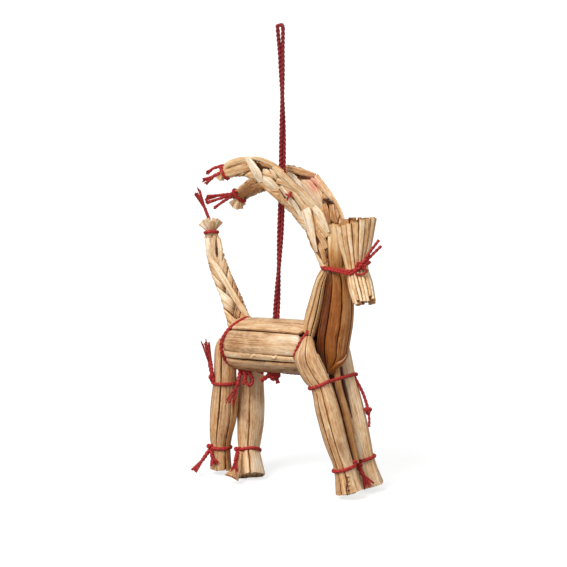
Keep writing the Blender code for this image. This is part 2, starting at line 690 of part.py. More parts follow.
def main():
    remove_everything()
    straw = material("straw", (0.62, 0.43, 0.21), 0.45)
    dark_straw = material("dark_straw", (0.43, 0.22, 0.09), 0.5)
    thread = material("red_thread", (0.43, 0.02, 0.02), 0.8)
    make_body(straw)
    hind_legs = make_hind_legs(straw)
    front_legs = make_front_legs(straw)
    neck = make_neck(dark_straw)
    head = make_head(straw)
    horns = make_horns(straw)
    tail = make_tail(straw)
    make_stem(front_legs[1], dark_straw)
    make_ties(hind_legs, front_legs, neck, head, horns, tail, thread)
    make_cord(thread)
    stand_at_origin()


main()
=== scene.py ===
"""Straw goat ornament: flattened straws in bundles and plaits, tied with red cotton thread.

Lengths are written in millimetres and turned to metres by MM. The goat faces +X, its right side
is -Y, and it stands on z = 0.
"""
import math
import random

import bpy
import numpy as np
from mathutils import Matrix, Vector


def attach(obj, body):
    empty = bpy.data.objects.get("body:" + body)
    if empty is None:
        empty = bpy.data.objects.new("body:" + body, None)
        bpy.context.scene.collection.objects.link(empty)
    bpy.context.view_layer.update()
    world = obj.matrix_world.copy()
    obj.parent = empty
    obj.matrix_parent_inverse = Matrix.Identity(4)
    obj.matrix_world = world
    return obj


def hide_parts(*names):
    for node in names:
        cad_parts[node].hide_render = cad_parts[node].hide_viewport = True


MM = 0.001
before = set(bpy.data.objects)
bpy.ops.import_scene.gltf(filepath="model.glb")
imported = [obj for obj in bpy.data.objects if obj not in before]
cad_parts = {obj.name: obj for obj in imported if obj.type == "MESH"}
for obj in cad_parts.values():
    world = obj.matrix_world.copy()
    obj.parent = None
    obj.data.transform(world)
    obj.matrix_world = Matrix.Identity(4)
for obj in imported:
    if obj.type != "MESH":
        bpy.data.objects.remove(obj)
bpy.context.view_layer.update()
random.seed(7)

# Thread and cord, as the frame has them
THREAD = 1.4
CORD = 1.4

# How thick a flattened straw is, and how many steps one is modelled in
STRAW_THICKNESS = 0.85
STRAW_STEPS = 56

# How far a straw's tone may lie from its bundle's
TONE_SPREAD = 0.13

# Places in one turn of a thread. A closed line runs on for three more, to lie smoothly on its start.
RING_STEPS = 40
RING_LAP = 3

# Middle of the barrel across the goat
BARREL_Y = 1.3

# White board's own glow to the camera, and the sky's strength for all but the camera
BOARD_GLOW = 0.74
SKY_STRENGTH = 0.36


# Camera: the photograph's angle, distance and framing

VIEW_AZIMUTH = math.radians(35)
VIEW_ELEVATION = math.radians(10)
VIEW_DISTANCE = 900.0
VIEW_WIDTH = 200.15
VIEW_TARGET = Vector((0.62, -3.54, 73.0))

# Directions from the goat to the camera, and to the camera's right
BACK = Vector((
    math.sin(VIEW_AZIMUTH) * math.cos(VIEW_ELEVATION),
    -math.cos(VIEW_AZIMUTH) * math.cos(VIEW_ELEVATION),
    math.sin(VIEW_ELEVATION),
))
RIGHT = Vector((math.cos(VIEW_AZIMUTH), math.sin(VIEW_AZIMUTH), 0))
UPWARD = Vector((0, 0, 1))


def make_camera():
    """Camera that looks at the goat from its right front."""
    data = bpy.data.cameras.new("photo_camera")
    data.sensor_width = 36.0
    data.lens = 36.0 * VIEW_DISTANCE / VIEW_WIDTH
    data.clip_end = 50.0
    camera = bpy.data.objects.new("photo_camera", data)
    bpy.context.scene.collection.objects.link(camera)
    camera.location = (VIEW_TARGET + BACK * VIEW_DISTANCE) * MM
    camera.rotation_euler = (-BACK).to_track_quat("-Z", "Y").to_euler()
    bpy.context.scene.camera = camera


# Colours and materials

# Red that the thread has left on straws beside it
THREAD_STAIN = "#DE7466"


def linear(code):
    """Linear colour from an sRGB hex value."""
    channels = [int(code[at:at + 2], 16) / 255 for at in (1, 3, 5)]
    return [c / 12.92 if c <= 0.04045 else ((c + 0.055) / 1.055) ** 2.4 for c in channels] + [1.0]


def add(tree, kind, settings=None, links=None, **values):
    """Adds a node, sets its properties and unlinked sockets, and links the others."""
    node = tree.nodes.new(kind)
    for name, value in (settings or {}).items():
        setattr(node, name, value)
    for name, value in values.items():
        node.inputs[name.replace("_", " ")].default_value = value
    for name, output in (links or {}).items():
        tree.links.new(output, node.inputs[name])
    return node


def new_material(name):
    """New node material, with its tree and its shader."""
    made = bpy.data.materials.new(name)
    made.use_nodes = True
    tree = made.node_tree
    return made, tree, tree.nodes["Principled BSDF"]


def ramp(tree, factor, stops):
    """Colour ramp with (place, hex) stops."""
    node = add(tree, "ShaderNodeValToRGB", links={0: factor})
    elements = node.color_ramp.elements
    while len(elements) < len(stops):
        elements.new(0.5)
    for element, (place, code) in zip(elements, stops):
        element.position = place
        element.color = linear(code)
    return node.outputs["Color"]


def straw_material(name, pale, warm, roughness, figure=1.0):
    """Flattened rye straw, split and ironed: waxy fibres run along it, each straw has its own tone.

    The two ramps are the tones of a bleached straw and of a ripe one; "warmth" goes between them.
    figure scales how strongly the fibres and blotches show.
    """
    made, tree, shader = new_material(name)
    uv = add(tree, "ShaderNodeUVMap", {"uv_map": "straw_mm"}).outputs["UV"]

    def written(attribute):
        """Number that each straw carries."""
        return add(tree, "ShaderNodeAttribute", {"attribute_name": attribute}).outputs["Fac"]

    def fibres(across, along, detail):
        """Noise drawn out along the straw, for fibres of a width and a length in millimetres."""
        stretched = add(tree, "ShaderNodeMapping", links={"Vector": uv}, Scale=(1 / across, 1 / along, 1.0))
        noise = add(tree, "ShaderNodeTexNoise", links={"Vector": stretched.outputs[0]}, Scale=1.0,
                    Detail=detail)
        return noise.outputs["Fac"]

    def limits(value, low, high, start, end):
        """Value taken from one range to another and held there."""
        return add(tree, "ShaderNodeMapRange", links={"Value": value}, From_Min=low, From_Max=high,
                   To_Min=start, To_Max=end).outputs[0]

    fine = fibres(0.42, 15.0, 4.0)
    broad = fibres(1.1, 26.0, 2.0)
    blotch = fibres(3.6, 6.0, 4.0)
    cracks = fibres(0.6, 9.0, 1.0)
    specks = fibres(0.7, 1.3, 1.0)
    grain = fibres(0.5, 1.8, 3.0)
    total = written("tone")
    for part in (
        limits(fine, 0.36, 0.64, -0.14 * figure, 0.14 * figure),
        limits(broad, 0.32, 0.68, -0.07, 0.07),
        limits(grain, 0.34, 0.66, -0.09 * figure, 0.09 * figure),
        limits(blotch, 0.32, 0.68, -0.11 * figure, 0.11 * figure),
        limits(cracks, 0.66, 0.74, 0.0, -0.34),
        limits(specks, 0.74, 0.80, 0.0, -0.34),
        # Painted shade: the last of each straw's width, towards its sides, is darkened to stand for the
        # shade in the seams between straws
        limits(written("edge"), 0.86, 1.0, 0.0, -0.30),
    ):
        total = add(tree, "ShaderNodeMath", {"operation": "ADD"}, {0: total, 1: part}).outputs[0]
    clouds = limits(fibres(4.5, 17.0, 2.0), 0.32, 0.68, -0.35, 0.35)
    ripeness = add(tree, "ShaderNodeMath", {"operation": "ADD", "use_clamp": True},
                   {0: written("warmth"), 1: clouds}).outputs[0]
    colour = add(tree, "ShaderNodeMix", {"data_type": "RGBA"},
                 {0: ripeness, 6: ramp(tree, total, pale), 7: ramp(tree, total, warm)}).outputs[2]
    dyed = add(tree, "ShaderNodeMix", {"data_type": "RGBA"}, {0: written("dye"), 6: colour})
    dyed.inputs[7].default_value = linear(THREAD_STAIN)
    tree.links.new(dyed.outputs[2], shader.inputs["Base Color"])
    bump = add(tree, "ShaderNodeBump", links={"Height": fine}, Strength=0.4, Distance=0.07 * MM)
    wave = add(tree, "ShaderNodeBump", links={"Height": broad, "Normal": bump.outputs[0]}, Strength=0.5,
               Distance=0.22 * MM)
    tree.links.new(wave.outputs[0], shader.inputs["Normal"])
    shader.inputs["Roughness"].default_value = roughness
    shader.inputs["IOR"].default_value = 1.45
    shader.inputs["Metallic"].default_value = 0.0
    return made


def thread_material(name, colours):
    """Two-ply cotton thread, dyed red and slightly polished: soft sheen, darker between the fibres."""
    made, tree, shader = new_material(name)
    place = add(tree, "ShaderNodeTexCoord").outputs["Object"]
    fuzz = add(tree, "ShaderNodeTexNoise", links={"Vector": place}, Scale=1 / (0.5 * MM), Detail=3.0)
    colour = ramp(tree, fuzz.outputs["Fac"], tuple(zip((0.30, 0.50, 0.72), colours)))
    tree.links.new(colour, shader.inputs["Base Color"])
    bump = add(tree, "ShaderNodeBump", links={"Height": fuzz.outputs["Fac"]}, Strength=0.5,
               Distance=0.1 * MM)
    tree.links.new(bump.outputs[0], shader.inputs["Normal"])
    shader.inputs["Roughness"].default_value = 0.62
    shader.inputs["Sheen Weight"].default_value = 0.25
    shader.inputs["Sheen Tint"].default_value = linear("#F08070")
    return made


# Pale honey straw for most of the goat, browner straw for the neck and the stem
STRAW = straw_material(
    "flattened_straw",
    ((0.0, "#3E2412"), (0.12, "#664428"), (0.3, "#A27A54"), (0.55, "#D3AD85"), (0.8, "#ECD2AE"),
     (1.0, "#FCF2E0")),
    ((0.0, "#3A1A08"), (0.12, "#653416"), (0.3, "#A06232"), (0.55, "#D29A62"), (0.8, "#EFC692"),
     (1.0, "#FCE8C6")),
    0.38,
)
BROWN_STRAW = straw_material(
    "browned_straw",
    ((0.0, "#3A1A08"), (0.3, "#7C4A24"), (0.55, "#AC7844"), (0.8, "#D6AC7C"), (1.0, "#F2DCBA")),
    ((0.0, "#331302"), (0.3, "#6A300A"), (0.55, "#9E5A20"), (0.8, "#D29A5C"), (1.0, "#F2D4A4")),
    0.34,
    0.5,
)
COTTON = thread_material("twisted_cotton_thread", ("#7E110F", "#AC1B18", "#D0382B"))
CORD_COTTON = thread_material("darker_cotton_cord", ("#620A10", "#8F1319", "#B5262A"))


# Paths


def spline(rows, count):
    """Smooth curve through rows of numbers, as evenly spaced rows. The first three are the place."""
    rows = np.array(rows, float)
    ends = np.vstack([2 * rows[0] - rows[1], rows, 2 * rows[-1] - rows[-2]])
    fine = []
    for first in range(len(rows) - 1):
        before, start, end, after = ends[first:first + 4]
        for t in np.linspace(0.0, 1.0, 24, endpoint=False):
            bend = (2 * before - 5 * start + 4 * end - after) * t ** 2
            ease = (3 * start - before - 3 * end + after) * t ** 3
            fine.append(0.5 * (2 * start + (end - before) * t + bend + ease))
    fine.append(rows[-1])
    fine = np.array(fine)
    steps = np.linalg.norm(np.diff(fine[:, :3], axis=0), axis=1)
    run = np.concatenate([[0.0], np.cumsum(steps)])
    even = np.linspace(0.0, run[-1], count)
    return np.column_stack([np.interp(even, run, column) for column in fine.T])


def unit(vectors):
    """Rows scaled to a length of one."""
    return vectors / np.maximum(np.linalg.norm(vectors, axis=-1, keepdims=True), 1e-9)


class Path:
    """Smooth line with sizes along it, and a sideways and a deep direction at each row."""

    def __init__(self, rows, across, count=120):
        self.rows = spline(rows, count)
        self.places = self.rows[:, :3]
        self.ahead = unit(np.gradient(self.places, axis=0))
        flat = np.array(across, float)
        self.side = unit(flat - self.ahead * (self.ahead @ flat)[:, None])
        self.deep = np.cross(self.ahead, self.side)
        self.length = np.linalg.norm(np.diff(self.places, axis=0), axis=1).sum()

    def at(self, share):
        """Place, sideways, deep, ahead directions and sizes at shares of the length."""
        spots = np.clip(np.asarray(share, float), 0, 1) * (len(self.rows) - 1)
        index = np.arange(len(self.rows))

        def read(table):
            return np.column_stack([np.interp(spots, index, column) for column in table.T])

        past = (np.asarray(share, float) - np.clip(share, 0, 1)) * self.length
        ahead = unit(read(self.ahead))
        places = read(self.places) + ahead * past[:, None]
        return places, unit(read(self.side)), unit(read(self.deep)), ahead, read(self.rows[:, 3:])

    def share_at(self, height):
        """Share of the length where the path is nearest to a height."""
        return float(np.argmin(np.abs(self.places[:, 2] - height))) / (len(self.rows) - 1)

    def section(self, share):
        """Oval at a share of the length: centre and two half-axis vectors."""
        place, side, deep, _, sizes = self.at([share])
        return Vector(place[0]), Vector(side[0] * sizes[0][0]), Vector(deep[0] * sizes[0][1])


# Straws


def deselect():
    """Leaves nothing selected, as an operator acts on all that is."""
    if bpy.context.object and bpy.context.object.mode != "OBJECT":
        bpy.ops.object.mode_set(mode="OBJECT")
    bpy.ops.object.select_all(action="DESELECT")


def model_straw(name, sides, steps):
    """Unit straw with hollow cut ends: a ring drawn out in steps along Z, then both ends cupped."""
    deselect()
    bpy.ops.mesh.primitive_circle_add(vertices=sides, radius=1.0, fill_type="NGON")
    made = bpy.context.object
    made.name = name
    bpy.ops.object.mode_set(mode="EDIT")
    bpy.ops.mesh.select_mode(type="FACE")
    bpy.ops.mesh.select_all(action="SELECT")
    bpy.ops.mesh.duplicate()
    bpy.ops.mesh.delete(type="FACE")
    bpy.ops.mesh.select_all(action="SELECT")
    for step in range(steps):
        bpy.ops.mesh.extrude_region_move(TRANSFORM_OT_translate={"value": (0, 0, 1 / steps)})
    bpy.ops.object.mode_set(mode="OBJECT")
    cup_end(made, 1.0, -1)
    cup_end(made, 0.0, 1)
    bpy.ops.object.mode_set(mode="EDIT")
    bpy.ops.mesh.select_all(action="SELECT")
    bpy.ops.mesh.remove_doubles(threshold=1e-5)
    bpy.ops.mesh.normals_make_consistent(inside=False)
    bpy.ops.object.mode_set(mode="OBJECT")
    deselect()
    return made


def cup_end(straw, height, inward):
    """Pushes a straw's end face in, so that the cut end shows its wall and its hollow."""
    for face in straw.data.polygons:
        face.select = len(face.vertices) > 4 and abs(face.center.z - height) < 1e-4
    if not any(face.select for face in straw.data.polygons):
        for edge in straw.data.edges:
            edge.select = all(abs(straw.data.vertices[v].co.z - height) < 1e-4 for v in edge.vertices)
        bpy.ops.object.mode_set(mode="EDIT")
        bpy.ops.mesh.select_mode(type="EDGE")
        bpy.ops.mesh.edge_face_add()
    else:
        bpy.ops.object.mode_set(mode="EDIT")
    bpy.ops.mesh.select_mode(type="FACE")
    bpy.ops.mesh.inset(thickness=0.3)
    bpy.ops.mesh.extrude_region_move(TRANSFORM_OT_translate={"value": (0, 0, inward * 0.03)})
    bpy.ops.object.mode_set(mode="OBJECT")


class StrawKit:
    """Copies of one modelled straw, each laid in its place, then joined into one piece.

    patches and stains each hold a place, its reach in millimetres and how much tone or dye changes there.
    """

    def __init__(self, template, squareness=1.0):
        self.template = template
        flat = np.empty(len(template.data.vertices) * 3)
        template.data.vertices.foreach_get("co", flat)
        self.unit = flat.reshape(-1, 3)
        circle = self.unit[:, :2]
        self.unit[:, :2] = np.sign(circle) * np.abs(circle) ** squareness
        self.laid = []
        self.warmth = 0.5
        self.patches = []
        self.stains = []

    def lay(self, place_of, width, length, tone):
        """One straw. place_of maps (across -1..1, out -1..1, along 0..1) to millimetres."""
        made = self.template.copy()
        made.data = self.template.data.copy()
        bpy.context.scene.collection.objects.link(made)
        across, out, along = self.unit.T
        places = place_of(across, out, along)
        places[:, 2] = np.maximum(places[:, 2], 0.0)
        made.data.vertices.foreach_set("co", (places * MM).astype(np.float32).ravel())
        start = np.array([random.uniform(0, 400), random.uniform(0, 400)])
        corners = np.empty(len(made.data.loops), dtype=np.int32)
        made.data.loops.foreach_get("vertex_index", corners)
        layer = made.data.uv_layers.get("straw_mm") or made.data.uv_layers.new(name="straw_mm")
        uv = np.column_stack([across * width / 2, along * length])[corners] + start
        layer.data.foreach_set("uv", uv.astype(np.float32).ravel())
        tones = tone(across, along) if callable(tone) else np.full(len(across), tone)
        for spot, reach, amount in self.patches:
            tones = tones + amount * np.exp(-((places - spot) ** 2).sum(axis=1) / reach ** 2)
        dye = np.zeros(len(across))
        for spot, reach, amount in self.stains:
            dye = dye + amount * np.exp(-((places - spot) ** 2).sum(axis=1) / reach ** 2)
        warmth = np.full(len(across), self.warmth + random.uniform(-0.12, 0.12))
        # edge, how near a point lies to the straw's side, lets the material paint shade into the seams
        # between straws
        for name, values in (("tone", tones), ("edge", np.abs(across)), ("warmth", warmth), ("dye", dye)):
            written = made.data.attributes.new(name, "FLOAT", "POINT")
            written.data.foreach_set("value", values.astype(np.float32))
        self.laid.append(made)

    def join(self, name, material, slot, nodes):
        """Joins the laid straws into one piece that rides on the goat and stands for CAD nodes."""
        deselect()
        for straw in self.laid:
            straw.select_set(True)
        bpy.context.view_layer.objects.active = self.laid[0]
        bpy.ops.object.join()
        made = bpy.context.object
        self.laid = []
        self.patches = []
        self.stains = []
        return finish_piece(made, name, material, nodes)


def finish_piece(made, name, material, nodes):
    """Names a piece, gives it its material and smooth sides, and ties it to the frame."""
    made.name = name
    made.data.name = name
    made.data.materials.clear()
    made.data.materials.append(material)
    deselect()
    made.select_set(True)
    bpy.context.view_layer.objects.active = made
    bpy.ops.mesh.customdata_custom_splitnormals_clear()
    bpy.ops.object.shade_smooth_by_angle(angle=math.radians(50))
    deselect()
    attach(made, "root")
    if nodes:
        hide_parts(*nodes)
    return made


def facing(path, share):
    """Angle of a path's oval that faces the camera, and the sense in which angles run to its right."""
    _, side, deep, _, _ = path.at([share])
    side, deep = Vector(side[0]), Vector(deep[0])
    angle = math.atan2(BACK.dot(deep), BACK.dot(side))
    turn = RIGHT.dot(deep * math.cos(angle) - side * math.sin(angle))
    return angle, 1.0 if turn > 0 else -1.0


def lay_strip(kit, path, low_angle, high_angle, spread=1.0, ends=(0.0, 1.0), tone=0.5, gradient=0.0,
              thickness=STRAW_THICKNESS, fill=0.97, flatness=0.5, wander=0.03, proud=0.0, tongue=(0.0, 0.0),
              pinches=(), skew=(0.0, 0.0), groove=0.45):
    """One flattened straw on a path's oval, between two angles in radians.

    spread scales the oval, ends are shares of the path, proud lifts the straw, tongue rounds its ends,
    skew turns its two edges along the path, pinches are shares where a thread folds it and groove is
    how deep the seam beside it is.
    """
    middle = (low_angle + high_angle) / 2
    half = (high_angle - low_angle) / 2 * fill
    phase = random.uniform(0, 6.28)
    sizes = path.at([(ends[0] + ends[1]) / 2])[4][0]
    width = (sizes[0] + sizes[1]) * spread * half
    thick = thickness * random.uniform(0.9, 1.1)
    folds = random.choice((2.0, 2.5, 3.0))

    def place_of(across, out, along):
        shares = ends[0] + (ends[1] - ends[0]) * along
        place, side, deep, _, sizes = path.at(shares)
        narrow = np.ones(len(across))
        if tongue[0] > 0:
            narrow *= np.sqrt(1 - np.clip(1 - along / tongue[0], 0, 1) ** 2 * 0.8)
        if tongue[1] > 0:
            narrow *= np.sqrt(1 - np.clip(1 - (1 - along) / tongue[1], 0, 1) ** 2 * 0.8)
        local = across * half * narrow
        swing = (skew[0] * (1 - across) + skew[1] * (1 + across)) / 2
        turned = middle + local + swing * (along - 0.5) + wander * np.sin(2.6 * along + phase)
        flat = 1 + flatness * (math.cos(half) / np.cos(local) - 1) + flatness * (1 - math.cos(half)) * 0.6
        rise = (out - 1) * thick / 2 + proud - groove * np.abs(across) ** 10
        for pinch in pinches:
            away = (shares - pinch) * path.length
            rise = rise + 0.22 * np.sin(folds * math.pi * across + phase) * np.exp(-(away / 3.4) ** 2)
        one = np.cos(turned) * (sizes[:, 0] * spread * flat + rise)
        two = np.sin(turned) * (sizes[:, 1] * spread * flat + rise)
        return place + side * one[:, None] + deep * two[:, None]

    def tones(across, along):
        return tone + gradient * (along - 0.5)

    kit.lay(place_of, width, path.length * (ends[1] - ends[0]), tones)


def lay_seamed(kit, path, seams, tones=None, tone=0.5, ragged=0.0, low_ragged=1.0, ends=(0.0, 1.0),
               share=0.5, absolute=False, heights=None, **settings):
    """Ring of straws whose seams are given in degrees from where the oval faces the camera.

    tones and heights hold a straw's tone and how much further it reaches, None draws the tone. ragged is
    how unevenly the straws end.
    """
    start, sense = (0.0, 1.0) if absolute else facing(path, share)
    for index, seam in enumerate(seams):
        following = seams[(index + 1) % len(seams)] + (360 if index + 1 == len(seams) else 0)
        edges = sorted((start + sense * math.radians(seam), start + sense * math.radians(following)))
        own = tones[index] if tones else None
        if own is None:
            own = tone + random.uniform(-TONE_SPREAD, TONE_SPREAD)
        low = ends[0] + random.uniform(-ragged, ragged) * low_ragged
        high = ends[1] + random.uniform(-ragged, ragged) + (heights[index] if heights else 0.0)
        proud = random.uniform(-0.1, 0.12)
        lay_strip(kit, path, *edges, ends=(low, high), tone=own, proud=proud, **settings)


def even_seams(count, first=0.0):
    """Seams of equal straws round a ring."""
    return [first + 360 * index / count for index in range(count)]


# Bundles


BODY_PATH = Path(
    [(-24.4 + 34.6 * s, BARREL_Y, 47.7 + 2.6 * s, 9.75 * w, 9.75 * w)
     for s, w in ((0, 0.70), (0.02, 0.83), (0.05, 0.93), (0.11, 0.99), (0.3, 1.02), (0.6, 1.02), (0.88, 1.0),
                  (0.97, 0.96), (1, 0.9))],
    (0, 1, 0),
)

HIND_RIGHT = Path([
    (-23.24, -2.44, 49.76, 2.12, 2), (-24.66, -2.94, 48.58, 3.35, 2.5),
    (-25.29, -2.96, 45.94, 3.97, 3.1), (-25.38, -2.99, 41.51, 4.15, 3.5),
    (-25.49, -3.01, 34.86, 4.15, 4.1), (-25.44, -3.1, 29.7, 4.84, 4.4), (-26.18, -3, 22.17, 5.01, 4.5),
    (-27.39, -3.01, 14.56, 4.24, 4), (-27.6, -2.93, 9.85, 3.46, 3.4), (-27.39, -3.19, 5.64, 3.71, 3.8),
    (-27.2, -3.47, 1.42, 4.06, 4.3),
], RIGHT)
HIND_LEFT = Path([
    (-21.35, 8.51, 46.71, 3.53, 2.5), (-21.09, 8.01, 42.37, 4.06, 3.2), (-20.95, 7.3, 38.06, 4.32, 3.7),
    (-20.51, 6.29, 33.08, 4.5, 4.1), (-19.51, 4.5, 26.1, 4.94, 4.4), (-18.39, 2.79, 19.13, 4.77, 4.3),
    (-17.71, 1.08, 13.6, 4.31, 4), (-16.96, -0.22, 9.68, 3.78, 3.4), (-14.86, -2.17, 5.35, 4.24, 4.2),
    (-12.94, -3.99, 0.99, 4.85, 4.7),
], RIGHT)
FRONT_RIGHT = Path([
    (12.99, -5.74, 54.23, 1.24, 1.8), (14.09, -7.58, 54.15, 2.21, 2.3), (14.97, -9.42, 53.13, 2.75, 2.8),
    (15.67, -10.74, 51.65, 3.42, 3.3), (16.13, -11.54, 49.88, 4.48, 3.5),
    (17.08, -11.43, 47.31, 4.66, 3.6), (19, -10.57, 43.33, 4.48, 3.6), (20.88, -9.67, 39.63, 3.74, 3.5),
    (23.27, -9.23, 31.64, 4.31, 4), (25.8, -8.18, 21.39, 4.17, 4.2), (28.4, -6.53, 11.36, 3.71, 3.4),
    (30.63, -5.76, 1.94, 5.12, 4.5),
], RIGHT)
FRONT_LEFT = Path([
    (13.6, 7.8, 55.8, 3, 2.3), (14.8, 7.8, 52.6, 3.9, 3.4), (16.6, 7.6, 48.5, 4.3, 3.6),
    (20.6, 5.6, 39.4, 4.2, 3.9), (24.9, 5.5, 24, 4.6, 4.3), (28.4, 6.7, 11, 3.7, 3.4),
    (30.4, 7.9, 1.6, 4.7, 4.5),
], RIGHT)
NECK_FRONT = Path([
    (18.92, 1.05, 95.27, 2.29, 2.1), (19.61, 0.35, 89.77, 2.65, 2.3), (20, 0.12, 84.53, 3, 2.6),
    (20.4, 0.18, 80.67, 3.35, 3), (21.05, 0.81, 75.68, 4.41, 4.2), (20.93, 1.04, 68.52, 5.47, 5.2),
    (20.51, 0.46, 61.44, 6, 5.7), (19.77, 0.02, 56.06, 6.09, 5.5), (19.57, -0.41, 51.82, 5.82, 4.8),
    (19.55, -0.49, 48.6, 5.29, 4.2), (19.11, -1.07, 45.06, 3.18, 3), (18.68, -1.49, 42.21, 0.88, 1.6),
], RIGHT)
NECK_BACK = Path([
    (17.56, -0.61, 83.34, 1.24, 2.5), (17.03, -0.44, 80.07, 1.24, 2.8), (14.89, -0.5, 75.25, 2.12, 4),
    (12.97, -0.33, 67.89, 2.82, 5), (11.31, -0.44, 61.29, 3.18, 5.5), (10.3, -1.06, 55.89, 2.65, 5.5),
], RIGHT)
HEAD = Path([
    (34.35, -2.92, 69.82, 4.06, 4.5), (31.85, -1.62, 75.35, 4.41, 4.7), (29.6, -0.72, 81.69, 3.88, 4.1),
    (28.48, 0.29, 88.83, 5.82, 5.3), (27.58, 1.32, 97.74, 7.59, 6.5),
], RIGHT)


def make_barrel(kit):
    """Barrel of wide flat straws whose ends turn in at the rump, with a painted highlight on its near side,
    over a core toned dark as painted shade.
    """
    kit.warmth = 0.4
    # Painted highlight: the first two patches lighten the near side towards the front; the third makes the
    # rear of the near side a little darker
    kit.patches = [((2.1, -5.9, 51.4), 3.6, 0.24), ((5.4, -5.1, 50.2), 2.6, 0.12),
                   ((-15.4, -7.8, 47.9), 4.0, -0.08)]
    # Inner ring toned dark, as painted shade in the gaps between the outer strips
    lay_seamed(kit, BODY_PATH, even_seams(8), spread=0.80, tone=0.18, absolute=True, flatness=0.2)
    rear = [80, 134, 187, 204, 232, 262, 300, 345, 390, 440]
    front = [80, 143, 194, 207, 228, 262, 300, 345, 390, 440]
    tones = [0.62, 0.56, 0.66, 0.50, 0.36, 0.5, 0.45, 0.55, 0.5]
    for index, tone in enumerate(tones):
        low, high = (rear[index] + front[index]) / 2, (rear[index + 1] + front[index + 1]) / 2
        low_turn, high_turn = front[index] - rear[index], front[index + 1] - rear[index + 1]
        # The second strip grows lighter towards the front, a painted highlight
        lay_strip(kit, BODY_PATH, math.radians(low), math.radians(high), tone=tone, fill=0.985,
                  gradient=0.30 if index == 1 else 0.0, flatness=0.5, tongue=(0.09, 0.04), wander=0.03,
                  thickness=1.2, proud=random.uniform(-0.1, 0.1),
                  skew=(math.radians(low_turn), math.radians(high_turn)))
    kit.warmth = 0.6
    ribbon(kit, [(-8.2, -11.4, 46.4), (-6.9, -11.3, 47.7), (-5.8, -10.2, 47)], [0.5, 0.9, 0.5], BACK,
           tone=0.84, thick=0.4)
    ribbon(kit, [(-1.2, -8.8, 47.6), (0.3, -8.6, 47), (0.6, -7.7, 48.2)], [0.5, 0.8, 0.5], BACK,
           tone=0.8, thick=0.4)
    # Core that the open rump shows, toned dark as painted shade inside the bundle, with random numbers of
    # its own
    drawn = random.getstate()
    for count, spread, tone in ((7, 0.56, 0.30), (4, 0.30, 0.36)):
        lay_seamed(kit, BODY_PATH, even_seams(count, 15), spread=spread, tone=tone, absolute=True,
                   flatness=0.2)
    random.setstate(drawn)
    kit.join("barrel_straws", STRAW, "straw", ["body_bundle"])


def make_legs(kit):
    """Four legs of flat straws round inner ones, pinched by their threads and cut at the hooves. The inner
    straws are toned darker as painted shade in the gaps.
    """
    legs = (
        ("hind_leg_straws_right", HIND_RIGHT, "hind_leg_right", [-178, -92, -20, 30, 80, 128],
         [None, 0.56, 0.50, 0.47, None, None]),
        ("hind_leg_straws_left", HIND_LEFT, "hind_leg_left", [-170, -98, -6, 84, 130],
         [None, 0.58, 0.64, None, None]),
        ("front_leg_straws_right", FRONT_RIGHT, "front_leg_right", [-150, -84, -42, -8, 62, 104, 150],
         [None, 0.55, 0.59, 0.61, 0.50, None, None]),
        ("front_leg_straws_left", FRONT_LEFT, "front_leg_left", [-165, -88, -46, 56, 96, 150],
         [None, 0.60, 0.74, 0.66, None, None]),
    )
    warmths = {"hind_leg_right": 0.75, "hind_leg_left": 0.5, "front_leg_right": 0.6, "front_leg_left": 0.7}
    for name, path, node, seams, tones in legs:
        kit.warmth = warmths[node]
        kit.patches = [((-11, -4.1, 4.5), 6.0, 0.24), ((29.3, -8.8, 6.9), 5.0, 0.06)]
        knee = path.share_at(34 if "hind" in name else 38.6)
        hoof = path.share_at(10)
        pinches = (hoof, knee) if node != "hind_leg_left" else (hoof,)
        # Inner straws, toned darker than the outer ones as painted shade in the gaps between them
        for count, first, spread, tone, ends in (
            (3, 20, 0.36, 0.40, (0.04, 0.995)),
            (6, 40, 0.68, 0.42, (0.03, 0.998)),
        ):
            lay_seamed(kit, path, even_seams(count, first), spread=spread, tone=tone, ends=ends,
                       ragged=0.006, gradient=0.3)
        lay_seamed(kit, path, seams, tones=tones, tone=0.52, ends=(0.0, 0.995), ragged=0.004,
                   pinches=pinches, flatness=0.85, wander=0.05, fill=0.99, groove=0.3)
        if node == "hind_leg_left":
            spread_straw(kit)
        # Painted shade of the split down the near front hoof
        if node == "front_leg_right":
            hoof_split_shade(kit)
        kit.join(name, STRAW, "straw", [node])


def ribbon(kit, points, widths, face, tone=0.5, thick=0.8, gradient=0.0, crown=0.25):
    """One flat straw along a line of places, with its flat side turned to a direction.

    crown is how far its middle bulges, as a share of its half width.
    """
    rows = [(*point, width / 2) for point, width in zip(points, widths)]
    normal = Vector(face).normalized()
    first = Vector(points[-1]) - Vector(points[0])
    path = Path(rows, normal.cross(first).normalized(), 80)

    def place_of(across, out, along):
        place, side, deep, _, sizes = path.at(along)
        half = sizes[:, 0]
        sign = np.sign((deep @ np.array(normal)).mean())
        rise = out * thick / 2 + crown * half * (1 - across ** 2)
        return place + side * (across * half)[:, None] + deep * (sign * rise)[:, None]

    def tones(across, along):
        return tone + gradient * (along - 0.5)

    kit.lay(place_of, widths[len(widths) // 2], path.length, tones)


def spread_straw(kit):
    """Straw of the far hind hoof that has sprung out to the side."""
    ribbon(kit, [(-17.6, -4.6, 9.5), (-16.6, -6.9, 7.2), (-15.3, -10.3, 4.7), (-14.2, -14.8, 2.5)],
           [1.2, 1.8, 3.4, 5.4], BACK, tone=0.46)


def hoof_split_shade(kit):
    """Dark ribbon and torn-edge dashes painted as the shade in a split down the front of the near front
    hoof.
    """
    ribbon(kit, [(30.5, -8.9, 9.8), (31.7, -9.1, 7.3), (31.8, -9.9, 4.7), (32.5, -10.1, 2.1)],
           [0.2, 0.45, 0.4, 0.3], BACK, tone=0.06, thick=0.2)
    for step in range(4):
        root = Vector((31.54 + 0.16 * step, -9.21 - 0.22 * step, 8.24 - 1.54 * step))
        torn = [tuple(root + Vector(reach)) for reach in ((0, 0, 0), (0.5, 0.25, 0.17), (0.93, 0.75, 0.48))]
        ribbon(kit, torn, [0.3, 0.25, 0.12], BACK, tone=0.1, thick=0.2)


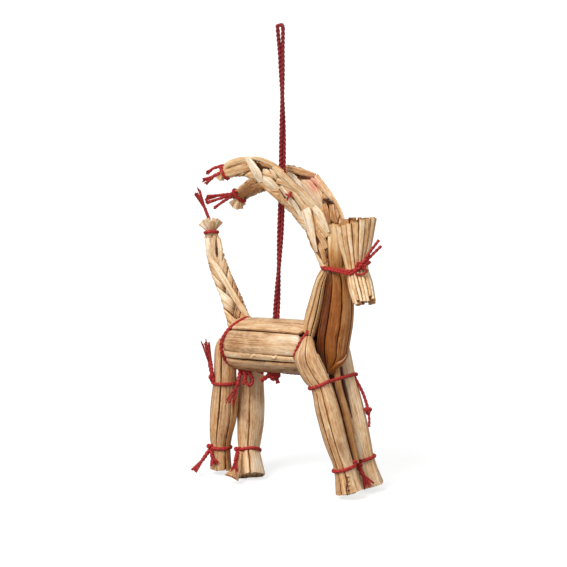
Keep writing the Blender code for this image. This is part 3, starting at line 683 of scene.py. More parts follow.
def make_neck(kit):
    """Neck of browner straws that end in a point between the front legs, lighter ones behind them."""
    kit.warmth = 0.95
    kit.patches = [((20.2, -3.3, 91), 8.0, 0.30)]
    # Inner straws toned dark, as painted shade in the gaps between the outer ones
    lay_seamed(kit, NECK_FRONT, even_seams(7, 25), spread=0.70, tone=0.20)
    lay_seamed(kit, NECK_FRONT, [-132, -62, -34, 14, 62, 110, 165],
               tones=[0.34, 0.32, 0.56, 0.64, 0.68, None, None], share=0.55, flatness=0.6, wander=0.02,
               pinches=(0.28,), fill=0.955, ragged=0.006, gradient=-0.12)
    kit.warmth = 0.35
    # Inner straws toned darker, as painted shade in the gaps between the outer ones
    lay_seamed(kit, NECK_BACK, even_seams(6, 10), spread=0.6, tone=0.42)
    lay_seamed(kit, NECK_BACK, [-150, -80, -30, 8, 50, 100, 160],
               tones=[0.7, 0.86, 0.72, 0.80, 0.3, None, None], tone=0.6, ragged=0.02, fill=0.93)
    kit.warmth = 1.0
    ribbon(kit, [(25.5, -0.3, 49.8), (24.9, -1.6, 47.9), (23, -3, 46.3), (20.3, -3.6, 43.6)],
           [0.5, 1.1, 1.5, 1.1], BACK, tone=0.44, crown=0.2, thick=0.7)
    ribbon(kit, [(20.2, -0.6, 95.4), (21.1, -1.8, 90.2), (21.6, -2.2, 85.3), (21.7, -1.8, 80.4)],
           [4.4, 4.9, 4.9, 4.6], BACK, tone=0.62, gradient=-0.14, crown=0.1, thick=0.5)
    kit.join("neck_straws", BROWN_STRAW, "dark_straw", ["neck_bundle"])


def make_head(kit):
    """Fan of cut straws above the thread and open ends below it."""
    kit.warmth = 1.0
    # Two inner rings toned darker than the outer straws, as painted shade between them
    lay_seamed(kit, HEAD, even_seams(4, 30), spread=0.30, tone=0.34, ragged=0.02, flatness=0.2)
    lay_seamed(kit, HEAD, even_seams(9, 12), spread=0.66, tone=0.44, ragged=0.03, flatness=0.3,
               thickness=1.4)
    lay_seamed(kit, HEAD, [-160, -128, -98, -72, -50, -30, -12, 8, 28, 48, 68, 92, 122, 152],
               tones=[None, None, 0.70, 0.80, 0.70, 0.82, 0.74, 0.84, 0.68, 0.82, 0.72, None, None, None],
               tone=0.68, ragged=0.012, low_ragged=3.0, flatness=0.3, fill=0.93, thickness=1.3,
               pinches=(0.44,), heights=[-0.04, -0.07, -0.09, -0.095, -0.08, -0.045, -0.05, -0.01, 0.012,
                                         0.03, 0.0, 0.01, -0.02, -0.03])
    kit.join("head_straws", STRAW, "straw", ["head_bundle"])


# Plaits


def plait(kit, path, pitch, strands, puff=1.25, tone=0.6, phase=0.0):
    """Three flat strands that fold over at the plait's edges and cross over one another.

    strands lists each strand's straws by their shares of its width, pitch is the length in which a
    strand comes back to its place, and phase is where in it the plait starts.
    """
    length = path.length

    def surface(along, reach, strand):
        turns = along * length / pitch - strand / 3 + phase
        wide = 2 * path.at(along)[4][:, 0]
        slope = np.arctan2(2 * wide, pitch)
        spacing = pitch / 3 * np.sin(slope)
        shift = reach * spacing
        around = 2 * turns + shift * np.cos(slope) / wide
        count = np.floor(around)
        part = around - count
        mirrored = np.where(count % 2 == 0, 1.0, -1.0)
        weave = 6 * turns - 3 * count + reach * np.cos(2 * slope)
        dive = np.clip((weave - 1.36) / 0.62, 0, 1)
        layer = 1 - 2 * dive * dive * (3 - 2 * dive)
        turn_in = np.clip(part * wide / 1.5, 0, 1)
        turn_out = np.clip((1 - part) * wide / 1.5, 0, 1)
        edge = np.sqrt(1 - (1 - turn_in) ** 2) * np.sqrt(1 - (1 - turn_out) ** 2)
        bulge = 0.55 + 0.45 * np.sin(math.pi * part)
        high = layer * edge * (puff * bulge * wide / 8 + 0.30 * reach)
        place, side, deep, ahead, _ = path.at(along - shift * np.sin(slope) / length)
        places = place + side * ((part - 0.5) * wide * mirrored)[:, None] + deep * high[:, None]
        return places, deep, layer * edge

    for strand, straws in enumerate(strands):
        edges = np.concatenate([[0.0], np.cumsum(straws)]) - 0.5
        for low, high in zip(edges[:-1], edges[1:]):
            middle, half = (low + high) / 2, (high - low) / 2 * 0.99
            straw_tone = tone + random.uniform(-0.16, 0.14)
            mottle = random.uniform(0, 6.28)

            def place_of(across, out, along):
                reach = middle + across * half
                here, deep, layer = surface(along, reach, strand)
                later, _, _ = surface(along + 0.0015, reach, strand)
                beside, _, _ = surface(along, reach + 0.02, strand)
                normal = unit(np.cross(later - here, beside - here))
                up = (normal * deep).sum(axis=1) * layer
                rise = out * 0.28 + up * (0.35 * (1 - across ** 2) - 0.15)
                return here + normal * rise[:, None]

            def tones(across, along):
                run = along * length
                return straw_tone + 0.10 * np.sin(run / 3.1 + mottle) + 0.05 * np.sin(run / 1.3)

            kit.lay(place_of, 3.4 * (high - low), length, tones)


HORN_RIGHT = Path([
    (18.2, -1.9, 78.0, 1.4), (17.1, -1.8, 80.8, 1.8), (15.9, -1.8, 84.2, 2.5), (14.6, -1.6, 88.0, 3.5),
    (13.5, -1.4, 91.8, 4.3), (11.6, -1.2, 95.4, 4.7),
    (6.4, -1.3, 100.6, 4.6), (-0.3, -3.5, 106.8, 4.2), (-7.2, -4.6, 111.6, 4.0), (-13.9, -5.1, 113.6, 3.7),
    (-19.6, -5.6, 112.4, 2.9), (-23.7, -6.4, 110.6, 1.9)], (0.5, 0, 1), 240)
HORN_LEFT = Path([
    (19.4, 4.0, 79.5, 2.8), (18.6, 4.3, 83.4, 3.4), (17.0, 5.7, 90.6, 4.0), (14.3, 7.2, 95.5, 4.5),
    (10.1, 8.5, 100.3, 4.7), (5.0, 9.6, 104.7, 4.6), (-1.3, 9.8, 108.6, 4.2), (-8.0, 8.6, 109.4, 4.0),
    (-14.6, 7.3, 107.2, 3.6), (-20.6, 6.1, 104.2, 3.0), (-24.6, 5.4, 101.6, 2.5), (-26.6, 5.2, 99.2, 2.0)],
    (0.5, 0, 1), 240)
TAIL = Path([
    (-23.06, 2.55, 54.5, 4.24), (-24.16, 2.54, 58.05, 4.06), (-26.37, 2.67, 62.95, 3.79),
    (-28.89, 2.7, 67.83, 3.53), (-31.4, 2.74, 72.72, 3.35), (-34.03, 3.17, 78.65, 3.18),
    (-35.62, 3.77, 83.19, 2.82), (-36.47, 3.96, 85.66, 2.38), (-36.89, 4.29, 87.42, 1.73),
], (0.82, 0.57, 0.4), 160)


# Straws that lie uppermost on a plait: places, widths, tone and warmth. Entries with a tone of 0.16 or less
# are dark strips painted as the shade in gaps between strands.
HORN_RIGHT_STRAWS = [
    ([(-24.7, -7.2, 109.4), (-23, -7.6, 110.9), (-19.9, -6.9, 111.8), (-15.4, -6.5, 113.3),
      (-11.3, -5.7, 114.4)], [1.7, 2.8, 3.6, 3.8, 3.1], 0.63, 0.9),
    ([(-22.5, -7.2, 112.1), (-20.7, -7.6, 114.1), (-17, -7, 115.5), (-12.9, -6, 116.6)],
     [1.4, 2.1, 2.4, 1.7], 0.72, 0.8),
    # Painted shade: dark strip in a gap between strands
    ([(-10.2, -5.3, 115.6), (-6.7, -5.7, 113.9), (-3, -4.7, 112.9)], [2.1, 3.3, 2.1], 0.02, 1),
    ([(-12.8, -6.1, 116.9), (-8.6, -6.4, 117), (-5.6, -6.2, 116.4), (-1.9, -5.8, 115.1),
      (1.3, -4.7, 112.8)], [1, 1.4, 1.7, 1.7, 1.4], 0.76, 0.7),
    ([(-8.3, -5.6, 115.1), (-4.9, -6, 115.1), (-2.4, -5.1, 114.2)], [1.7, 1.8, 1.4], 0.52, 1),
    ([(-7.8, -5.6, 111.8), (-4.2, -5.8, 111.4), (-1.2, -4.8, 110.7)], [1.2, 1.5, 1.4], 0.66, 0.7),
    ([(-12.3, -5.7, 113), (-8.4, -5.9, 109.2), (-4.9, -5.4, 106.3), (-1.4, -4.8, 103.7),
      (1.6, -3.1, 100.8)], [1, 1.5, 1.5, 1.5, 1], 0.6, 0.9),
    ([(-7.6, -5.6, 110.9), (-3.9, -5.7, 108.7), (-1.3, -4.6, 106)], [2.4, 3.8, 3.1], 0.82, 0.5),
    ([(-13, -6.7, 117.2), (-10.4, -7, 114.4), (-8.2, -6.8, 111.6), (-7.3, -6, 108.8)],
     [1.8, 3, 3.4, 2], 0.9, 0.5),
    ([(-2.3, -5.7, 114.6), (1.3, -5.7, 112.1), (4.8, -4.7, 108.9), (9, -3.2, 105.4), (12.9, -2.4, 101.7)],
     [1.7, 2.8, 2.7, 2.6, 2.1], 0.76, 0.7),
    ([(-1.2, -5, 109.7), (3.5, -4.7, 108.6), (6.8, -3.5, 106.2), (10.9, -2.1, 102.8)],
     [2.1, 2.3, 2.1, 1.5], 0.7, 0.9),
    ([(-1.2, -4.4, 106.3), (1, -4.2, 102.9), (4.1, -3, 99.2), (7.2, -1.9, 95.4)],
     [1.5, 1.7, 1.7, 1.4], 0.64, 0.8),
    ([(0, -4.6, 107.7), (2.9, -4.2, 104.4), (5.7, -3, 100.5), (7.8, -2.1, 96.3)],
     [1.7, 1.9, 1.9, 1.5], 0.8, 0.6),
    ([(2.8, -4.1, 107.6), (6, -3.5, 104.2), (8.7, -2.8, 100.8), (11, -2.2, 98.3)],
     [1.7, 2.1, 2.1, 1.6], 0.7, 0.7),
    ([(6, -3.2, 106.1), (9.1, -2.9, 103.6), (12.1, -2.3, 100.6)], [1.5, 1.9, 1.5], 0.78, 0.6),
    # Painted shade: dark strip in a gap between strands
    ([(11.5, -1.5, 100.2), (13.2, -2.2, 97.8), (13.9, -2.3, 93.9), (14.6, -2.6, 88.8), (15.3, -2.2, 83.6)],
     [1, 1.4, 1.2, 1.4, 1], 0.16, 1),
    ([(13.6, -2.3, 93.3), (16.5, -3.1, 90.7), (18.6, -2.8, 87.3)], [2.1, 2.9, 2.4], 0.6, 0.9),
    ([(14.9, -2.4, 88.5), (17, -3.2, 85.9), (17.8, -2.6, 82.1)], [2.1, 2.4, 2.1], 0.5, 0.8),
    ([(13.4, -2.3, 97.2), (16.3, -3.2, 94.6), (18.9, -2.9, 91.4)], [1.7, 2.2, 2.1], 0.74, 0.8),
    ([(12.8, -2.5, 101.1), (16, -3.3, 98.8), (17.9, -3.5, 96.1), (19.3, -3.1, 92.9)],
     [2.4, 2.9, 2.6, 1.9], 0.85, 0.5),
    ([(9.3, -2.6, 100.1), (10.9, -3.3, 97.1), (12.1, -3.3, 93.3), (13.4, -3.6, 89.5), (14.5, -3.2, 85.6)],
     [4.2, 4.3, 3.7, 2.4, 1.2], 0.86, 0.5),
]
HORN_LEFT_STRAWS = [
    ([(-24.7, 4.6, 100.9), (-20.7, 4.7, 103.2), (-17.5, 5.4, 104.7), (-14.7, 6.6, 105.8)],
     [2.1, 2.8, 2.9, 2.4], 0.44, 0.8),
    ([(-24, 4.3, 102.9), (-20.7, 4.3, 105.3), (-17.9, 5.4, 107.1)], [1.5, 2.1, 2.3], 0.5, 0.7),
    ([(-6.4, 7.8, 111), (-3.6, 8, 109.1), (-0.4, 8.4, 106.3), (2.4, 8.9, 104.3)],
     [2.1, 3, 2.8, 1.7], 0.86, 0.5),
    ([(-6.5, 7.3, 112.7), (-1.8, 7.7, 111.8), (2.3, 8.1, 111.1), (5.9, 8.6, 110.5)],
     [1.7, 2.3, 2.3, 1.7], 0.6, 1),
    # Painted shade: dark strip in a gap between strands
    ([(-2.2, 8.3, 109.1), (2.5, 7.9, 109.5), (5.5, 8.4, 109.8)], [0.8, 1, 0.8], 0.05, 1),
    ([(0, 8.6, 108.3), (3.9, 7.8, 105.8), (7.1, 7.3, 102.7), (9.1, 7.3, 99.4)],
     [3.8, 5.2, 4.8, 2.1], 0.84, 0.45),
    ([(3.7, 8.4, 109.8), (7.8, 7.4, 107.7), (10.1, 7.5, 105.2)], [1.2, 1.6, 1.4], 0.72, 0.6),
    ([(5.6, 8.6, 110), (9.5, 7.4, 106.8), (13.4, 6.4, 104), (15.2, 6.5, 102.1)],
     [1.4, 1.7, 1.6, 1.2], 0.84, 0.5),
    ([(6.3, 8.8, 110.6), (10.2, 7.6, 107.5), (14.5, 6.4, 103.9), (18.3, 5.3, 99.9), (20.4, 4.7, 96.7)],
     [1.4, 1.7, 1.7, 1.7, 1.4], 0.74, 0.7),
    # Painted shade: dark strip in a gap between strands
    ([(10.4, 7, 102.5), (13.1, 5.9, 102.4), (15.2, 6.1, 101.8)], [1, 1.4, 1], 0.03, 1),
    ([(10.6, 7.4, 101), (12.3, 6.2, 98), (13.4, 6.1, 94.2)], [2.1, 2.6, 2.1], 0.52, 1),
    ([(14.5, 6.5, 101.1), (15.7, 5.3, 98.4), (17.3, 4.9, 95)], [1.7, 2.2, 1.7], 0.58, 1),
]
TAIL_STRAWS = [
    ([(-37.1, 2.5, 85), (-35.9, 1.3, 81.2), (-34.9, 1, 76.4)], [1.5, 1.8, 1.5], 0.8, 0.4),
    ([(-35.4, 3.2, 85.2), (-34.1, 1.9, 80.5), (-32.3, 1.7, 75)], [1.8, 2.2, 1.7], 0.64, 0.6),
    ([(-33.6, 4.4, 85), (-31.9, 3.1, 80.6), (-31.7, 2.4, 75.7)], [1.5, 1.8, 1.5], 0.76, 0.5),
    # Painted shade: thin dark strip in a gap between strands
    ([(-33.9, 2.9, 83.6), (-33.1, 1.9, 81.4), (-32.8, 1.9, 78.6)], [0.3, 0.6, 0.3], 0.12, 1),
    ([(-35.1, 0.8, 78.1), (-31.2, 0.9, 74), (-27.8, 1.3, 69.3), (-24.5, 1.8, 64.6), (-21.2, 2.4, 60.1),
      (-19.1, 3.7, 56.5)], [1.8, 2.3, 2.3, 2.2, 2.1, 1.8], 0.8, 0.5),
]


def lay_over(kit, path, straws):
    """Flat straws on the face of a plait that is turned to the camera, and dark strips painted as shade in
    its gaps.
    """
    for places, widths, tone, warmth in straws:
        last = np.array(places[-1])
        normal = Vector(path.deep[int(np.argmin(np.linalg.norm(path.places - last, axis=1)))])
        if normal.dot(BACK) < 0:
            normal = -normal
        kit.warmth = warmth
        ribbon(kit, places, widths, normal, tone=tone, thick=0.4, crown=0.14)


def splayed_ends(kit, root, tips, widths, tone):
    """Cut straw ends that spread from a thread."""
    for index, tip in enumerate(tips):
        start, end = Vector(root), Vector(tip)
        middle = start.lerp(end, 0.5) + BACK * 0.4
        ribbon(kit, [tuple(start.lerp(end, -0.25)), tuple(middle), tuple(end)],
               [widths[0], (widths[0] + widths[1]) / 2, widths[1]], BACK + RIGHT * random.uniform(-0.4, 0.4),
               tone=tone + random.uniform(-0.12, 0.12), crown=0.12)


def make_plaits(kit):
    """Two horns and the tail."""
    kit.warmth = 0.9
    plait(kit, HORN_RIGHT, 26.0, ([1.0], [0.60, 0.40], [1.0]), phase=0.1, tone=0.72)
    lay_over(kit, HORN_RIGHT, HORN_RIGHT_STRAWS)
    kit.warmth = 0.7
    splayed_ends(kit, (-23.7, -6.2, 110.9), [(-24.8, -8.2, 108.8), (-25.5, -8.2, 110.1),
                                             (-24.8, -6.3, 108.5)], (2.4, 2.6), 0.8)
    kit.join("horn_plait_right", STRAW, "straw", ["horn_right"])
    kit.warmth = 0.55
    kit.stains = [((5.5, 6.4, 108.3), 2.6, 0.6), ((7.1, 6.3, 106.8), 2.0, 0.45)]
    plait(kit, HORN_LEFT, 26.0, ([0.55, 0.45], [1.0], [1.0]), phase=0.35, tone=0.68)
    lay_over(kit, HORN_LEFT, HORN_LEFT_STRAWS)
    kit.warmth = 0.55
    splayed_ends(kit, (-24.6, 5, 100.4), [(-26.8, 2.5, 98.1), (-25, 2.7, 96.7), (-23.8, 4.3, 96.6),
                                           (-23.7, 5.9, 97.7)], (1.5, 2.3), 0.62)
    kit.join("horn_plait_left", STRAW, "straw", ["horn_left"])
    kit.warmth = 0.5
    plait(kit, TAIL, 27.0, ([0.5, 0.5], [0.56, 0.44], [1.0]), phase=0.2, tone=0.66)
    lay_over(kit, TAIL, TAIL_STRAWS)
    kit.warmth = 0.5
    splayed_ends(kit, (-36.9, 4.3, 87.2), [(-39.8, 2.2, 90.7), (-37.7, 2.2, 91.9), (-35.8, 2.7, 91.4),
                                             (-34.7, 4.3, 92), (-34.4, 6.4, 91.3), (-40.3, 5.7, 91.3),
                                             (-37.4, 7.7, 91.2)], (1.9, 2.9), 0.82)
    kit.join("tail_plait", STRAW, "straw", ["tail"])


# Thread


def carried_frames(points):
    """Two directions square to a line at each of its points, carried along without twisting."""
    ahead = unit(np.gradient(points, axis=0))
    first = np.cross(ahead[0], (0.3, 0.5, 0.8))
    first /= np.linalg.norm(first)
    firsts = [first]
    for direction in ahead[1:]:
        first = firsts[-1] - direction * firsts[-1].dot(direction)
        firsts.append(first / np.linalg.norm(first))
    firsts = np.array(firsts)
    return firsts, np.cross(ahead, firsts)


def lay_thread(kit, points, width=THREAD, twist=3.0):
    """Two-ply thread along a line: a rope section whose two plies turn as it goes."""
    steps = kit.steps
    line = spline(points, steps + 1)
    firsts, seconds = carried_frames(line)
    run = np.concatenate([[0.0], np.cumsum(np.linalg.norm(np.diff(line, axis=0), axis=1))])
    spots = np.linspace(0, 1, steps + 1)

    def read(table, along):
        return np.column_stack([np.interp(along, spots, column) for column in table.T])

    def place_of(across, out, along):
        centre, one, two = read(line, along), read(firsts, along), read(seconds, along)
        distance = np.interp(along, spots, run)
        angle = np.arctan2(out, across)
        share = np.hypot(across, out)
        ply = 0.26 * np.abs(np.cos(angle)) + np.sqrt(0.74 ** 2 - (0.26 * np.sin(angle)) ** 2)
        size = width / 2 * ply * share
        turned = angle + 2 * math.pi * distance / twist
        return centre + one * (np.cos(turned) * size)[:, None] + two * (np.sin(turned) * size)[:, None]

    kit.lay(place_of, width, run[-1], 0.5)
    return line


def hug(ovals, first, second, gap=0.25):
    """Closed line that wraps ovals tightly. The two directions span its plane."""
    first, second = Vector(first).normalized(), Vector(second).normalized()
    line = []
    for step in range(RING_STEPS + RING_LAP):
        angle = 2 * math.pi * step / RING_STEPS
        outward = first * math.cos(angle) + second * math.sin(angle)
        best = None
        for centre, half_one, half_two in ovals:
            one, two = half_one.dot(outward), half_two.dot(outward)
            reach = math.hypot(one, two)
            place = centre + (half_one * one + half_two * two) / reach
            far = centre.dot(outward) + reach
            if best is None or far > best[0]:
                best = (far, place + outward * gap)
        line.append(best[1])
    return line


def lay_knot(kit, place, size=2.7, lean=0.0, width=THREAD * 0.85):
    """Overhand knot, drawn tight."""
    right = RIGHT * math.cos(lean) + UPWARD * math.sin(lean)
    up = UPWARD * math.cos(lean) - RIGHT * math.sin(lean)
    line = []
    for step in range(33):
        t = 2 * math.pi * step / 32
        x = math.sin(t) + 2 * math.sin(2 * t)
        y = math.cos(t) - 2 * math.cos(2 * t)
        z = -math.sin(3 * t)
        line.append(tuple(Vector(place) + (right * x + up * y + BACK * z * 1.2) * size / 7.4))
    lay_thread(kit, line, width=width)


def lay_fray(kit, start, end, spread, count):
    """Thread end that has come apart into its fibres."""
    start, end = Vector(start), Vector(end)
    along = (end - start).normalized()
    side = along.cross(BACK).normalized()
    for index in range(count):
        share = (index + 0.5) / count * 2 - 1 + random.uniform(-0.12, 0.12)
        reach = random.uniform(0.82, 1.05)
        middle = start.lerp(end, 0.5) + side * share * spread * 0.32 + BACK * random.uniform(-0.3, 0.5)
        tip = start.lerp(end, reach) + side * share * spread / 2 + BACK * random.uniform(-0.5, 0.6)
        root = start + side * share * 0.3
        lay_thread(kit, [tuple(root), tuple(middle), tuple(tip)], width=0.62, twist=1.8)


class ThreadKits:
    """Threads of a long and a short template, joined into one piece for each tie."""

    def __init__(self):
        self.kits = []
        for name, steps in (("ring_template", 150), ("tail_template", 36), ("fibre_template", 12)):
            kit = StrawKit(model_straw(name, 10 if steps > 12 else 6, steps))
            kit.steps = steps
            self.kits.append(kit)
        self.ring, self.tail, self.fibre = self.kits

    def join(self, name, nodes, slot="red_thread"):
        """One piece of all that has been laid."""
        for kit in self.kits[1:]:
            self.ring.laid += kit.laid
            kit.laid = []
        return self.ring.join(name, COTTON, slot, nodes)

    def remove(self):
        for kit in self.kits:
            bpy.data.objects.remove(kit.template, do_unlink=True)


def loose_end(threads, points, width=THREAD, fray=0.0, fray_count=7):
    """Tail of thread through its places, with its last stretch frayed."""
    if fray > 0:
        lay_fray(threads.fibre, points[-2], points[-1], fray, fray_count)
        points = points[:-1]
    lay_thread(threads.tail, points, width=width)


def loose_ends(threads, tails, width, fray_count):
    """Frayed tails, each given by three places and how far its fibres spread."""
    for *points, fray in tails:
        loose_end(threads, points, width, fray, fray_count)


# Oval of the near horn's foot in the head thread: centre and two half-axis vectors
HORN_RIGHT_BASE = (Vector((18.3, -1.5, 80.2)), Vector((0.6, 0, 0)), Vector((0, 1.6, 0)))


def make_ties(threads):
    """Threads round the bundles, with their knots and loose ends."""
    line = []
    for step in range(RING_STEPS + RING_LAP):
        angle = 2 * math.pi * step / RING_STEPS + 4.4
        high, low = max(0.0, math.sin(angle)), max(0.0, -math.sin(angle))
        x = -23.7 + 4.4 * high ** 2 + 2.2 * low ** 2
        line.append((x, BARREL_Y + 9.2 * math.cos(angle), 48.4 + 9.2 * math.sin(angle)))
    lay_thread(threads.ring, line)
    lay_knot(threads.tail, (-18.4, -2.4, 39.3), 3.2)
    lay_knot(threads.tail, (-16.6, -1.8, 39.1), 3.4, 0.8)
    lay_thread(threads.tail, [(-16.6, -2.4, 39.2), (-14.7, -2, 37.8), (-14, -2, 35.7), (-14.7, -2.9, 34),
                              (-16, -3.3, 35.7), (-16.5, -2.6, 38.1)], width=1.3)
    lay_thread(threads.tail, [(-17.2, -2.8, 39.2), (-16.4, -3.4, 36.8), (-16.8, -4.2, 34.3)], width=1.3)
    loose_end(threads, [(-16.1, -1.9, 39.9), (-13.1, -1.2, 39.7), (-10.6, -0.1, 38.9)], width=1.5)
    loose_end(threads, [(-18.6, -3.3, 38.7), (-18.4, -5.2, 33.9), (-19.7, -8.3, 27.7)], width=1.6, fray=4.0)
    threads.join("rump_thread", ["rump_tie"])

    line = []
    for step in range(RING_STEPS + RING_LAP):
        angle = 2 * math.pi * step / RING_STEPS + 0.6
        z = 49.8 + 9.95 * math.sin(angle)
        x = 8.9 + 0.42 * max(0.0, z - 49.0) + 0.5 * max(0.0, 48.5 - z)
        line.append((x, BARREL_Y + 9.95 * math.cos(angle), z))
    lay_thread(threads.ring, line)
    threads.join("shoulder_thread", ["shoulder_tie"])

    knee = HIND_RIGHT.section(HIND_RIGHT.share_at(34.2))
    lay_thread(threads.ring, hug([knee], knee[2], knee[1]))
    lay_knot(threads.tail, (-28.8, -6.3, 35.8), 2.8)
    loose_ends(threads, (((-28.8, -6.5, 36.5), (-30.1, -6.4, 41.2), (-32.8, -6.6, 49.7), 2.6),
                         ((-28.4, -6.8, 37), (-29.3, -6.6, 42), (-31, -6.5, 49.2), 2.0)), THREAD, 4)
    threads.join("hind_knee_thread", ["hind_knee_tie"])

    knees = [FRONT_RIGHT.section(FRONT_RIGHT.share_at(40.4)), FRONT_LEFT.section(FRONT_LEFT.share_at(40.2))]
    lay_thread(threads.ring, hug(knees, (1, 0, 0.2), (0, 1, 0)))
    lay_thread(threads.tail, [(23.7, 6.9, 40.6), (25.5, 7.1, 37.9), (27.5, 7.4, 34.2), (29.4, 7.3, 29.7)],
               width=1.3)
    lay_knot(threads.tail, (29.7, 6.9, 28.9), 2.7)
    loose_end(threads, [(29.7, 7.2, 28.3), (30.2, 7, 25.9), (30.4, 6.6, 23.1)], width=1.0)
    threads.join("front_knee_thread", ["front_knee_tie"])

    hooves = (
        # Names of the piece and its CAD node, bundle, height, knot and frayed tails
        ("hind_hoof_thread_right", "hind_hoof_tie_right", HIND_RIGHT, 9.6, (-29.9, -6.2, 10),
         (((-30.1, -6.6, 8.9), (-31.2, -9.3, 5.6), (-32.9, -12.6, 1.9), 2.4),
          ((-29, -7.1, 9.2), (-28, -7.6, 6.8), (-26.8, -7.9, 4.1), 3.4))),
        ("hind_hoof_thread_left", "hind_hoof_tie_left", HIND_LEFT, 9.4, (-19.1, -4.1, 10),
         (((-18.2, -5.6, 9.6), (-16.4, -9.3, 7.3), (-14.1, -13.9, 2.7), 3.4),)),
        ("front_hoof_thread_right", "front_hoof_tie_right", FRONT_RIGHT, 10.6, (31.5, -4.9, 12.5), ()),
        ("front_hoof_thread_left", "front_hoof_tie_left", FRONT_LEFT, 11.4, (28.9, 2.3, 9.5),
         (((29.5, 1.9, 9.1), (31.4, 1.7, 6.5), (33.9, 1.7, 2.9), 4.4),)),
    )
    for name, node, path, height, knot, tails in hooves:
        waist = path.section(path.share_at(height))
        lay_thread(threads.ring, hug([waist], waist[2], waist[1], gap=0.15))
        lay_knot(threads.tail, knot, 2.6)
        loose_ends(threads, tails, 1.6, 8)
        threads.join(name, [node])

    waists = [NECK_FRONT.section(0.27), HEAD.section(0.44), NECK_BACK.section(0.12), HORN_RIGHT_BASE]
    for gap, drop, width in ((0.2, 0.0, 1.4), (0.6, 0.8, 1.2)):
        line = [Vector(place) for place in hug(waists, RIGHT, Vector((0.57, -0.82, 0.0)), gap=gap)]
        reaches = [place.dot(RIGHT) for place in line]
        low, high = min(reaches), max(reaches)
        for place, reach in zip(line, reaches):
            share = (reach - low) / (high - low)
            near = place.dot(BACK) > sum(other.dot(BACK) for other in line) / len(line)
            sag = drop + (2.4 if near else 0.0)
            place.z += 0.9 * share - sag * math.sin(math.pi * share)
        lay_thread(threads.ring, [tuple(place) for place in line], width=width)
    lay_knot(threads.tail, (34.2, -3.9, 83.1), 3.0, 0.4)
    lay_knot(threads.tail, (33.2, -4.7, 82.6), 2.6, 1.4)
    lay_thread(threads.tail, [(34.4, -4.6, 82.3), (35.6, -3.4, 80.9), (34.3, -4.5, 79.7),
                              (32.3, -5.9, 79.9)], width=0.9)
    loose_end(threads, [(34.6, -4, 84), (36.5, -2.5, 87.8), (38.5, -0.3, 91.6)], width=1.15)
    loose_end(threads, [(34.8, -3.3, 83.9), (37, -1.8, 86.7), (39.1, 0.3, 89.5)], width=1.15)
    threads.join("head_thread", ["head_tie"])

    plaits = (
        # Names of the piece and its CAD node, plait, share of its length, knot and frayed tails
        ("horn_thread_right", "horn_tie_right", HORN_RIGHT, 0.985, (-24.2, -6.2, 112.7),
         (((-24.4, -6.2, 113.2), (-26.5, -8.1, 112.5), (-28.2, -10.2, 110.5), 1.5),
          ((-24, -7.7, 110.9), (-26.2, -9.7, 109.5), (-28.9, -12.1, 108.3), 1.3),
          ((-25.1, -8.5, 110.5), (-26.3, -9.9, 108.8), (-27.6, -11.5, 107.1), 1.1))),
        ("horn_thread_left", "horn_tie_left", HORN_LEFT, 0.962, (-26, 3.9, 101.9),
         (((-26.4, 3.6, 102), (-30.3, 0.3, 101.5), (-34, -3.2, 100.6), 2.2),
          ((-26.5, 2.9, 101.2), (-28.8, 0.3, 99.2), (-31.1, -2, 96.9), 0.9),
          ((-26.8, 2.8, 101.6), (-30.2, -0.4, 100.2), (-33.6, -3.3, 98.8), 1.3))),
        ("tail_tip_thread", "tail_tie", TAIL, 0.985, None,
         (((-37.8, 4.5, 91.3), (-39.6, 4.1, 95.6), (-43.4, 2.8, 101.9), 1.6),
          ((-37.7, 4.1, 91.8), (-39.6, 3.7, 96.4), (-41.9, 3.5, 103), 0.9))),
    )
    for name, node, path, share, knot, tails in plaits:
        if name == "horn_thread_right":
            for snag in ([(4.4, -4.2, 106.1), (4.2, -5.3, 105), (3.5, -5.5, 103.1)],
                         [(2.8, -5.4, 105.3), (4.2, -5.3, 104.9), (4.8, -4.3, 104.4)]):
                lay_thread(threads.tail, snag, width=0.75)
        centre, half, normal = section_of_plait(path, share)
        oval = (centre, half, normal * half.length * 0.8)
        lay_thread(threads.ring, hug([oval], half, normal, gap=0.35), width=1.3)
        if knot:
            lay_knot(threads.tail, knot, 2.4)
        loose_ends(threads, tails, 1.25, 5)
        threads.join(name, [node])


def section_of_plait(path, share):
    """Centre, half width and deep direction of a plait at a share of its length."""
    place, side, deep, _, sizes = path.at([share])
    return Vector(place[0]), Vector(side[0] * sizes[0][0]), Vector(deep[0])


# Hanging cord, on the frame's route

CORD_FOOT = Vector((-6.0, 1.3, 59.086))
CORD_REACH = 104.6
CORD_OPEN_LENGTH = 10.0
CORD_LOOP_WIDTH = 1.9
CORD_APART = 1.1
CORD_SWAY = (1.6, 1.75)
CORD_SWAY_WAVE = 0.78
# Shares of the cord's reach, and the degrees from +X at which its first run lies there
CORD_TURNS = ((0.0, 0.04, 0.17, 0.31, 0.57, 0.76, 0.93, 1.0), (35, 45, 125, 200, 215, 305, 395, 395))


def cord_middle(reached):
    """Middle line of the doubled cord at a share of its reach."""
    sway = math.sin(CORD_SWAY_WAVE * math.pi * reached)
    return CORD_FOOT + Vector((CORD_SWAY[0] * sway, CORD_SWAY[1] * sway, reached * CORD_REACH))


def cord_side(reached):
    """Direction from the cord's middle line to its first run at a share of its reach."""
    angle = math.radians(np.interp(reached, *CORD_TURNS))
    return Vector((math.cos(angle), math.sin(angle), 0))


def cord_route():
    """Line that goes up from the back, round a narrow loop and back down beside itself."""
    loop = CORD_LOOP_WIDTH / 2
    first, second = [], []
    for reached in np.linspace(0, 1 - CORD_OPEN_LENGTH / CORD_REACH, 25):
        first.append(cord_middle(reached) + cord_side(reached) * CORD_APART / 2)
        second.append(cord_middle(reached) - cord_side(reached) * CORD_APART / 2)
    out = cord_side(1.0)
    centre = cord_middle(1 - loop / CORD_REACH)
    bow = [
        centre + out * loop * math.cos(angle) + Vector((0, 0, loop * math.sin(angle)))
        for angle in np.linspace(0, math.pi, 7)
    ]
    return spline([tuple(place) for place in first + bow + second[::-1]], 120)


